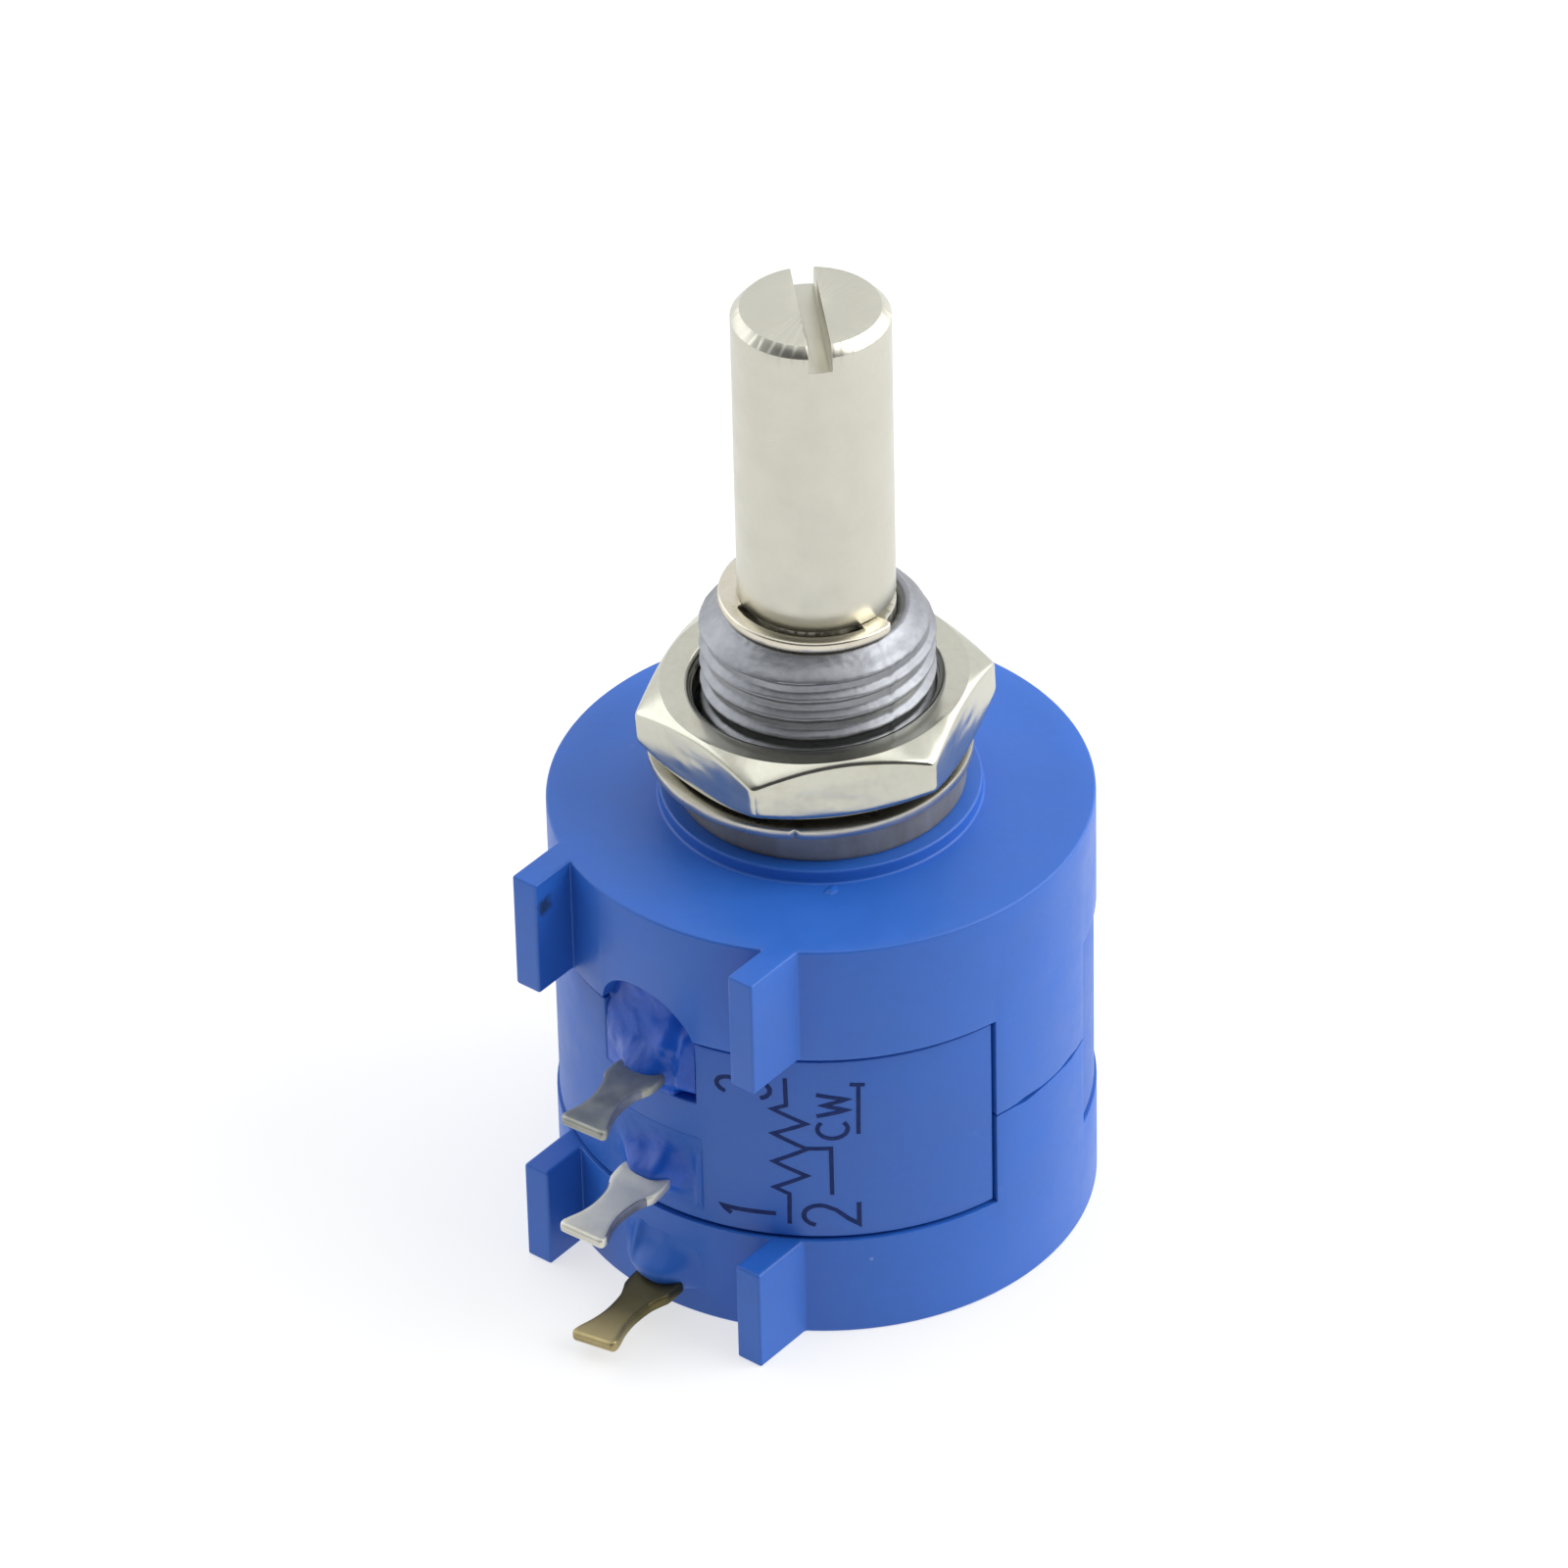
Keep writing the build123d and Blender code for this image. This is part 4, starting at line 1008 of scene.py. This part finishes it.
def lug(name, root, xs, zs, widths, roll, tip, mats, replaces, t=0.45, cup=0.0, arm=None):
    """centre x and top z by y; half-width by y; roll in degrees (right side up)"""
    ys = []
    y = -root
    while y > -tip + 0.35:
        ys.append(y)
        y -= 0.16
    ys += [-tip + c for c in (0.30, 0.20, 0.12, 0.06, 0.025, 0.0)]
    across = 11
    verts, faces = [], []
    e = 0.09
    for y in ys:
        w = smooth(widths, -y)
        end = max(0.0, min(1.0, (-y - (tip - 0.30)) / 0.30))
        w *= math.sqrt(max(0.0, 1 - (end ** 2.2) * 0.22))
        x0, zt = smooth(xs, -y), smooth(zs, -y)
        rl = math.radians(smooth(roll, -y))
        thin = 1.0
        if -y > tip - 0.12:
            thin = 1 - 0.62 * ((-y - (tip - 0.12)) / 0.12) ** 2
        sec = []
        for s in range(across):
            u = -1 + 2 * s / (across - 1)
            sec.append((u * (w - e), t / 2 * thin - cup * (1 - u * u)))
        sec += [(w - e * 0.3, t / 2 * thin - e * 0.3), (w, t / 2 * thin - e), (w, -t / 2 * thin + e),
                (w - e * 0.3, -t / 2 * thin + e * 0.3)]
        for s in range(across):
            u = 1 - 2 * s / (across - 1)
            sec.append((u * (w - e), -t / 2 * thin - cup * (1 - u * u)))
        sec += [(-w + e * 0.3, -t / 2 * thin + e * 0.3), (-w, -t / 2 * thin + e), (-w, t / 2 * thin - e),
                (-w + e * 0.3, t / 2 * thin - e * 0.3)]
        n = len(sec)
        skew = 0.0
        for a, b in sec:
            verts.append((x0 + a * math.cos(rl) - b * math.sin(rl),
                          y + skew * a, zt - t / 2 + a * math.sin(rl) + b * math.cos(rl)))
    m = len(ys)
    for i in range(m - 1):
        for q in range(n):
            faces.append((i * n + q, i * n + (q + 1) % n, (i + 1) * n + (q + 1) % n, (i + 1) * n + q))
    faces.append(tuple(range(n)))
    faces.append(tuple(range((m - 1) * n, m * n))[::-1])
    # sheared side faces of the waist are rougher than the rolled faces, and their dark bluish base colour is a painted
    # reflection of the blue housing
    side = set(range(across - 1, across + 4)) | set(range(2 * across + 3, 2 * across + 8))
    fm = []
    for i in range(m - 1):
        rough_and_painted_dark = 12.7 < -ys[i] < tip - 0.42
        fm += [1 if rough_and_painted_dark and q in side else 0 for q in range(n)]
    fm += [0, 0]
    return make(name, verts, faces, mats, "housing", replaces, 42.0, fm)


LUG_W = [(6.0, 1.0), (11.30, 1.0), (11.55, 1.17), (12.45, 1.17), (12.75, 1.02), (13.2, 0.82), (14.1, 0.73), (14.8, 0.84),
         (15.45, 1.08), (15.75, 1.13), (16.2, 1.13)]
lug("terminal_3_lug", 9.12, [(9.0, -0.17), (12.3, -0.17), (13.2, -0.10), (14.5, 0.08), (16.0, 0.26)],
    [(9.0, 12.02), (12.4, 12.02), (16.0, 11.99)], LUG_W, [(12.0, 6.0), (13.5, 5.0), (15.9, 3.0)], 15.88, [m_lug3, m_cut],
    ["terminal_3"])
lug("terminal_1_lug", 9.12, [(9.0, -0.08), (12.5, -0.08), (16.0, -0.05)],
    [(9.0, 6.845), (11.6, 6.80), (12.6, 6.62), (14.0, 6.50), (16.0, 6.40)], LUG_W, [(12.0, 2.0), (15.9, 2.0)], 15.90, [m_lug, m_cut],
    ["terminal_1"])
lug("terminal_2_lug", 6.6, [(6.6, 0.42), (11.5, 0.44), (13.0, 0.47), (16.0, 0.36)],
    [(6.6, 1.695), (10.4, 1.695), (12.3, 1.56), (13.6, 1.42), (16.0, 1.10)], LUG_W,
    [(6.6, 0.0), (10.0, 0.0), (12.0, 10.0), (15.9, 10.0)], 15.90, [m_lug2, m_lug2], [])

# terminal 2's inner spring arm, which brushes the slip ring
arm_line = [(-7.4, 1.37), (-6.8, 1.365), (-6.2, 1.37), (-5.6, 1.56), (-5.0, 1.79), (-4.6, 2.0), (-4.2, 2.19), (-3.85, 2.35),
            (-3.5, 2.45), (-3.2, 2.40), (-2.75, 2.25)]
verts, faces = [], []
for i, (y, z) in enumerate(arm_line):
    d0, d1 = arm_line[max(0, i - 1)], arm_line[min(len(arm_line) - 1, i + 1)]
    ll = math.hypot(d1[0] - d0[0], d1[1] - d0[1])
    ny, nz_ = -(d1[1] - d0[1]) / ll, (d1[0] - d0[0]) / ll
    for a, b in ((-0.66, 0.12), (0.66, 0.12), (0.70, 0.08), (0.70, -0.08), (0.66, -0.12), (-0.66, -0.12), (-0.70, -0.08),
                 (-0.70, 0.08)):
        verts.append((a, y + ny * b, z + nz_ * b))
for i in range(len(arm_line) - 1):
    for q in range(8):
        faces.append((i * 8 + q, i * 8 + (q + 1) % 8, (i + 1) * 8 + (q + 1) % 8, (i + 1) * 8 + q))
faces.append(tuple(range(8)))
faces.append(tuple(range((len(arm_line) - 1) * 8, len(arm_line) * 8))[::-1])
arm = make("terminal_2_spring_arm", verts, faces, m_lug2, "housing", (), 40.0)
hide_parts("terminal_2")


# ---------------------------------------------------------------------------
# sealing resin: glossy beads that creep up round the lug roots
# ---------------------------------------------------------------------------
def bead(name, x0, x1, z0, top_of, surf, back, replaces, mat=None):
    nx, nzr = 56, 56
    verts, faces = [], []
    for layer in (0, 1):
        for i in range(nx + 1):
            x = x0 + (x1 - x0) * i / nx
            zt = top_of(x)
            for j in range(nzr + 1):
                z = z0 + (zt - z0) * j / nzr
                r = surf(x, z) if layer == 0 else (back(x, z) if callable(back) else back)
                verts.append((x, -math.sqrt(max(r * r - x * x, 1.0)), z))
    m = (nx + 1) * (nzr + 1)

    def at(layer, i, j):
        return layer * m + i * (nzr + 1) + j
    for i in range(nx):
        for j in range(nzr):
            faces.append((at(0, i, j), at(0, i + 1, j), at(0, i + 1, j + 1), at(0, i, j + 1)))
            faces.append((at(1, i, j), at(1, i, j + 1), at(1, i + 1, j + 1), at(1, i + 1, j)))
        for j in (0, nzr):
            faces.append((at(0, i, j), at(1, i, j), at(1, i + 1, j), at(0, i + 1, j)))
    for j in range(nzr):
        for i in (0, nx):
            faces.append((at(0, i, j), at(0, i, j + 1), at(1, i, j + 1), at(1, i, j)))
    return make(name, verts, faces, mat or m_resin, "housing", replaces, 60.0)


def bump1(t, w, p=2.0):
    return math.exp(-abs(t / w) ** p)


def step(t):
    t = max(0.0, min(1.0, t))
    return t * t * (3 - 2 * t)


def top3(x):
    return WIN_HI + arch_rise(math.degrees(math.asin(x / 10.9))) - 0.03


def surf3(x, z):
    # slopes in under the arch; meniscus on the lug, a blob beside it, a low ridge
    # near the right wall and a small hollow at its foot
    r = 11.00 - 0.52 * step((z - 12.4) / 2.6)
    r -= 0.22 * bump1(x - 1.35 + 0.55 * (z - 13.9), 0.40) * step((z - 13.6) / 0.8)
    r += 0.95 * bump1(x + 0.20, 1.30, 3.0) * bump1(z - 11.90, 0.70, 2.4)
    r += 0.42 * bump1(x - 0.60, 0.62) * bump1(z - 13.20, 0.60)
    r += 0.22 * bump1(x - 1.50, 0.26) * step((14.3 - z) / 0.9) * step((z - 11.1) / 0.5)
    r -= 0.55 * step((x - 0.85) / 0.35) * step((11.25 - z) / 0.30)
    r += 0.06 * nz(x * 1.6, z * 1.6, 3.0) + 0.02 * nz(x * 4.2, z * 4.2, 6.0)
    edge = min((x - POCKET_X0), (POCKET_X1 - x))
    k = step(edge / 0.40)
    return min(r, 12.05) * k + min(r, 10.96) * (1 - k)


def surf1(x, z):
    r = 10.99
    r += 0.95 * bump1(x + 0.12, 1.30, 3.0) * bump1(z - 6.74, 0.66, 2.4)
    r += 0.38 * bump1(x - 0.62, 0.58) * bump1(z - 7.62, 0.55)
    r += 0.10 * bump1(x + 1.5, 0.7) * bump1(z - 7.2, 0.8)
    r += 0.05 * nz(x * 1.5 + 4, z * 1.5, 5.0) + 0.015 * nz(x * 4.2, z * 4.2, 9.0)
    # thin ragged skin over the pocket's rim, and a low ridge along its right side
    edge = min((x - POCKET_X0), (POCKET_X1 - x), (z - 5.50), (8.80 - z))
    k = step((edge + 0.25 + 0.12 * nz(x * 2.2, z * 2.2, 12.0)) / 0.45)
    r = min(r, 11.95) * k + 10.985 * (1 - k)
    if edge < 0.05:
        r = max(r, 11.012 - 0.03 * max(0.0, -edge - 0.12))
    return r + 0.10 * bump1(x - 2.02, 0.17) * step((8.7 - z) / 0.5) * step((z - 5.4) / 0.4)


def back1(x, z):
    inside = POCKET_X0 + 0.02 < x < POCKET_X1 - 0.02 and 5.52 < z < 8.78
    return 10.07 if inside else 10.965


def surf2(x, z):
    r = 10.98 + 0.34 * bump1(x - 0.10, 1.9, 4) * bump1(z - 2.2, 1.35, 4)
    r += 0.85 * bump1(x - 0.30, 1.35, 3) * bump1(z - 1.95, 0.72, 2.4)
    r += 0.18 * bump1(x + 0.95, 0.24) * bump1(z - 2.7, 0.9, 4)
    r += 0.04 * nz(x * 1.5 + 7, z * 1.5, 8.0)
    return r


bead("seal_3_resin", POCKET_X0 + 0.004, POCKET_X1 - 0.004, 10.755, top3, surf3, 10.07, ["seal_3"])
bead("seal_1_resin", POCKET_X0 - 0.22, POCKET_X1 + 0.24, 5.28, lambda x: 9.00, surf1, back1, ["seal_1"], m_resin_thin)
bead("seal_2_resin", -1.92, 2.34, 1.30, lambda x: 3.95, surf2, 10.40, ["seal_2"], m_shell)


# ---------------------------------------------------------------------------
# printed schematic: thin ink strokes on the panel
# ---------------------------------------------------------------------------
INK_N = [0]


def stroke(points, width=0.17, closed=False, depth=0.026):
    """mitred ribbon through (azimuth, z) points on the panel's cylinder"""
    k = math.radians(1.0) * PANEL_R
    P = [Vector((a * k, z)) for a, z in points]
    fine = [P[0]]
    for a, b in zip(P, P[1:]):
        m = max(1, int((b - a).length / 0.25))
        for t in range(1, m + 1):
            fine.append(a.lerp(b, t / m))
    P = fine
    n = len(P)
    left, right = [], []
    for i in range(n):
        if closed and i in (0, n - 1):
            d0, d1 = (P[-1] - P[-2]).normalized(), (P[1] - P[0]).normalized()
        else:
            d0 = (P[i] - P[i - 1]).normalized() if i > 0 else (P[1] - P[0]).normalized()
            d1 = (P[i + 1] - P[i]).normalized() if i < n - 1 else d0
        t = (d0 + d1)
        t = t.normalized() if t.length > 0.2 else d1
        nrm = Vector((-t.y, t.x))
        c = max(0.45, nrm.dot(Vector((-d1.y, d1.x))))
        w = width / 2 / c * (1 + 0.10 * nz(P[i].x * 3, P[i].y * 3, 1.0))
        left.append(P[i] + nrm * w)
        right.append(P[i] - nrm * w)
    INK_N[0] += 1
    out = PANEL_R + depth * 0.5 + 0.0012 * (INK_N[0] % 7)
    verts, faces = [], []

    def put(q, r):
        a = q.x / PANEL_R
        verts.append((r * math.sin(a), -r * math.cos(a), q.y))
    for i in range(n):
        put(left[i], out)
        put(right[i], out)
        put(right[i], PANEL_R - 0.02)
        put(left[i], PANEL_R - 0.02)
    for i in range(n - 1):
        a, b = i * 4, (i + 1) * 4
        for q in range(4):
            faces.append((a + q, a + (q + 1) % 4, b + (q + 1) % 4, b + q))
    faces.append((0, 3, 2, 1))
    e = (n - 1) * 4
    faces.append((e, e + 1, e + 2, e + 3))
    return verts, faces


def print_piece(name, strokes):
    verts, faces = [], []
    for st in strokes:
        v, f = stroke(*st) if isinstance(st, tuple) and isinstance(st[0], list) else stroke(st)
        o = len(verts)
        verts += v
        faces += [tuple(q + o for q in face) for face in f]
    return make(name, verts, faces, m_ink, "housing", (), 20.0)


def glyph(pts, az0, az1, z0, z1):
    """points in a unit box (x right, y up) to upright text turned a quarter left"""
    return [(az1 + (az0 - az1) * y, z0 + (z1 - z0) * x) for x, y in pts]


def arc(cx, cy, rx, ry, a0, a1, n=10):
    return [(cx + rx * math.cos(math.radians(a0 + (a1 - a0) * t / n)),
             cy + ry * math.sin(math.radians(a0 + (a1 - a0) * t / n))) for t in range(n + 1)]


zig = [(30.25, 12.88), (30.37, 11.49), (27.45, 11.30), (34.47, 10.59), (27.58, 10.04), (32.54, 9.56), (34.61, 9.26),
       (30.37, 8.89), (27.42, 8.57), (34.23, 7.98), (29.97, 7.54), (27.56, 7.29), (30.71, 7.04), (30.56, 5.49)]
zig = [(30.25, 12.88), (30.37, 11.52), (27.40, 11.28), (34.50, 10.62), (27.45, 10.04), (34.60, 9.34), (27.42, 8.62),
       (34.40, 7.98), (27.50, 7.30), (30.65, 7.02), (30.56, 5.49)]
print_piece("print_resistor", [zig, [(33.6, 9.37), (39.58, 9.38), (39.64, 7.02)],
                               [(45.55, 12.52), (45.39, 10.05)], [(43.76, 12.57), (46.90, 12.50)]])
C = glyph(arc(0.52, 0.5, 0.46, 0.47, 48, 312, 14), 36.6, 43.4, 9.82, 10.85)
W = glyph([(0.02, 0.98), (0.26, 0.03), (0.50, 0.80), (0.74, 0.03), (0.98, 0.98)], 36.6, 43.4, 11.00, 12.12)
two = glyph(arc(0.48, 0.70, 0.42, 0.27, 165, -20, 9) + [(0.70, 0.42), (0.30, 0.20), (0.06, 0.03), (0.96, 0.03)],
            33.2, 45.6, 5.38, 6.60)
one = [(17.9, 5.62), (16.4, 5.82), (15.95, 5.93), (18.96, 5.90), (23.0, 5.92), (27.68, 5.95)]
three = glyph(arc(0.46, 0.73, 0.40, 0.24, 160, -80, 9), 14.95, 27.3, 11.72, 12.70)
three2 = glyph(arc(0.46, 0.28, 0.46, 0.26, 82, -160, 9), 14.95, 27.3, 11.72, 12.70)
print_piece("print_lettering", [(C, 0.17), (W, 0.17), (two, 0.19), (one, 0.20), (three, 0.19), (three2, 0.19)])

# ---------------------------------------------------------------------------
# small marks of the moulding: gate vestige on the front wall
# ---------------------------------------------------------------------------
verts, faces = [], []
GX, GY = polar(7.0, 41.5)[0], polar(7.0, 41.5)[1]
rings = [(0.0, 0.075), (0.10, 0.07), (0.20, 0.035), (0.30, 0.0), (0.34, -0.03)]
verts.append((GX, GY, BODY_L + rings[0][1]))
GS = 20
for r, z in rings[1:]:
    for i in range(GS):
        a = 2 * math.pi * i / GS
        rr = r * (1 + 0.35 * nz(math.cos(a) * 1.5, math.sin(a) * 1.5, 9.0))
        verts.append((GX + rr * math.cos(a) * 0.8, GY + rr * math.sin(a) * 1.2, BODY_L + z))
for i in range(GS):
    faces.append((0, 1 + i, 1 + (i + 1) % GS))
    for q in range(len(rings) - 2):
        a, b = 1 + q * GS, 1 + (q + 1) * GS
        faces.append((a + i, b + i, b + (i + 1) % GS, a + (i + 1) % GS))
faces.append(tuple(1 + (len(rings) - 2) * GS + i for i in range(GS))[::-1])
make("gate_vestige", verts, faces, m_shell, "housing", (), 60.0)

# ---------------------------------------------------------------------------
# inner working parts keep their CAD shape and take real finishes
# ---------------------------------------------------------------------------
for node, mat in (("thrust_washer", m_bronze_sheet), ("rotor_drum", m_black), ("collector_rail", m_brass),
                  ("slip_ring", m_brass), ("wiper_carriage", m_white), ("wiper_contact", m_alloy),
                  ("resistance_helix", m_wire), ("lead_3", m_copper), ("lead_1", m_copper)):
    me = NODES[node].data
    if len(me.materials) == 0:
        me.materials.append(mat)
    for s in range(len(me.materials)):
        me.materials[s] = mat

# ---------------------------------------------------------------------------
# floor, light, camera
# ---------------------------------------------------------------------------
mt = Mat("studio_floor")
mt.set(color=mottled(mt, (0.38, 0.38, 0.38), 0.01, 3.0, 20.0), rough=0.85, spec=0.1)
mt.b.inputs["Emission Color"].default_value = (1.0, 1.0, 1.0, 1.0)
mt.b.inputs["Emission Strength"].default_value = 0.64
me = bpy.data.meshes.new("floor")
S = 3.0
me.from_pydata([(-S, -S, 0), (S, -S, 0), (S, S, 0), (-S, S, 0)], [], [(0, 1, 2, 3)])
floor = bpy.data.objects.new("floor", me)
me.materials.append(mt.m)
scene.collection.objects.link(floor)

world = bpy.data.worlds.new("studio")
scene.world = world
world.use_nodes = True
wt = world.node_tree
wt.nodes.clear()
wout = wt.nodes.new("ShaderNodeOutputWorld")
wbg = wt.nodes.new("ShaderNodeBackground")
wco = wt.nodes.new("ShaderNodeTexCoord")
# a white room, darker on the side the picture is taken from
fx, fy, _ = polar(1.0, 39.3)
wdot = wt.nodes.new("ShaderNodeVectorMath")
wdot.operation = "DOT_PRODUCT"
wdot.inputs[1].default_value = (fx, fy, 0.0)
wramp = wt.nodes.new("ShaderNodeValToRGB")
wmap = wt.nodes.new("ShaderNodeMath")
wmap.operation = "MULTIPLY_ADD"
wmap.inputs[1].default_value = 0.5
wmap.inputs[2].default_value = 0.5
wt.links.new(wco.outputs["Generated"], wdot.inputs[0])
wt.links.new(wdot.outputs["Value"], wmap.inputs[0])
wt.links.new(wmap.outputs[0], wramp.inputs[0])
wt.links.new(wramp.outputs[0], wbg.inputs[0])
wt.links.new(wbg.outputs[0], wout.inputs[0])
el = wramp.color_ramp.elements
el[0].position, el[0].color = 0.30, (0.98, 0.99, 1.0, 1)
el[1].position, el[1].color = 0.77, (0.09, 0.09, 0.10, 1)
e = el.new(0.50)
e.color = (0.92, 0.93, 0.94, 1)
e = el.new(0.61)
e.color = (0.56, 0.57, 0.58, 1)
wbg.inputs[1].default_value = 1.0


def softbox(name, az, elev, dist, size, power, color=(1, 1, 1), aim=(0, 0, 0.02), shape_y=None):
    la = bpy.data.lights.new(name, "AREA")
    la.shape = "RECTANGLE"
    la.size = size
    la.size_y = shape_y or size
    la.energy = power
    la.color = color
    ob = bpy.data.objects.new(name, la)
    d = Vector(polar(math.cos(math.radians(elev)), az, math.sin(math.radians(elev))))
    ob.location = Vector(aim) + d * dist
    ob.rotation_euler = (-d).to_track_quat("-Z", "Y").to_euler()
    scene.collection.objects.link(ob)
    return ob


softbox("key_right", 118.0, 36.0, 0.60, 0.45, 2.25, (1.0, 0.995, 0.98))
softbox("fill_left", -78.0, 24.0, 0.60, 0.50, 0.7, (0.97, 0.985, 1.0))
softbox("back_right", 156.0, 20.0, 0.36, 0.28, 0.33)
softbox("top", 60.0, 82.0, 0.60, 0.55, 0.7)

E, ROLL = 0.631188126, -0.0239207659
D = 0.420004747
T = Vector((-0.00147946813, 0.0, 0.000177335063))
turn = Matrix.Rotation(math.radians(39.3), 3, "Z")
cam_pos = T + Vector((0, -math.cos(E), math.sin(E))) * D
r0, u0 = Vector((1, 0, 0)), Vector((0, math.sin(E), math.cos(E)))
right = math.cos(ROLL) * r0 + math.sin(ROLL) * u0
up = -math.sin(ROLL) * r0 + math.cos(ROLL) * u0
back = -Vector((0, math.cos(E), -math.sin(E)))
cam_pos = turn @ cam_pos + Vector((0, 0, 0.0193))
right, up, back = turn @ right, turn @ up, turn @ back
cd = bpy.data.cameras.new("camera")
cd.sensor_fit = "AUTO"
cd.sensor_width = 36.0
cd.lens = 10623.3132 / 1600.0 * 36.0
cd.clip_start, cd.clip_end = 0.01, 20.0
cam = bpy.data.objects.new("camera", cd)
rot = Matrix((right, up, back)).transposed()
cam.matrix_world = Matrix.Translation(cam_pos) @ rot.to_4x4()
scene.collection.objects.link(cam)
scene.camera = cam

scene.view_settings.view_transform = "Standard"
scene.view_settings.look = "None"
scene.view_settings.exposure = 0.0
scene.view_settings.gamma = 1.0

bpy.context.view_layer.update()
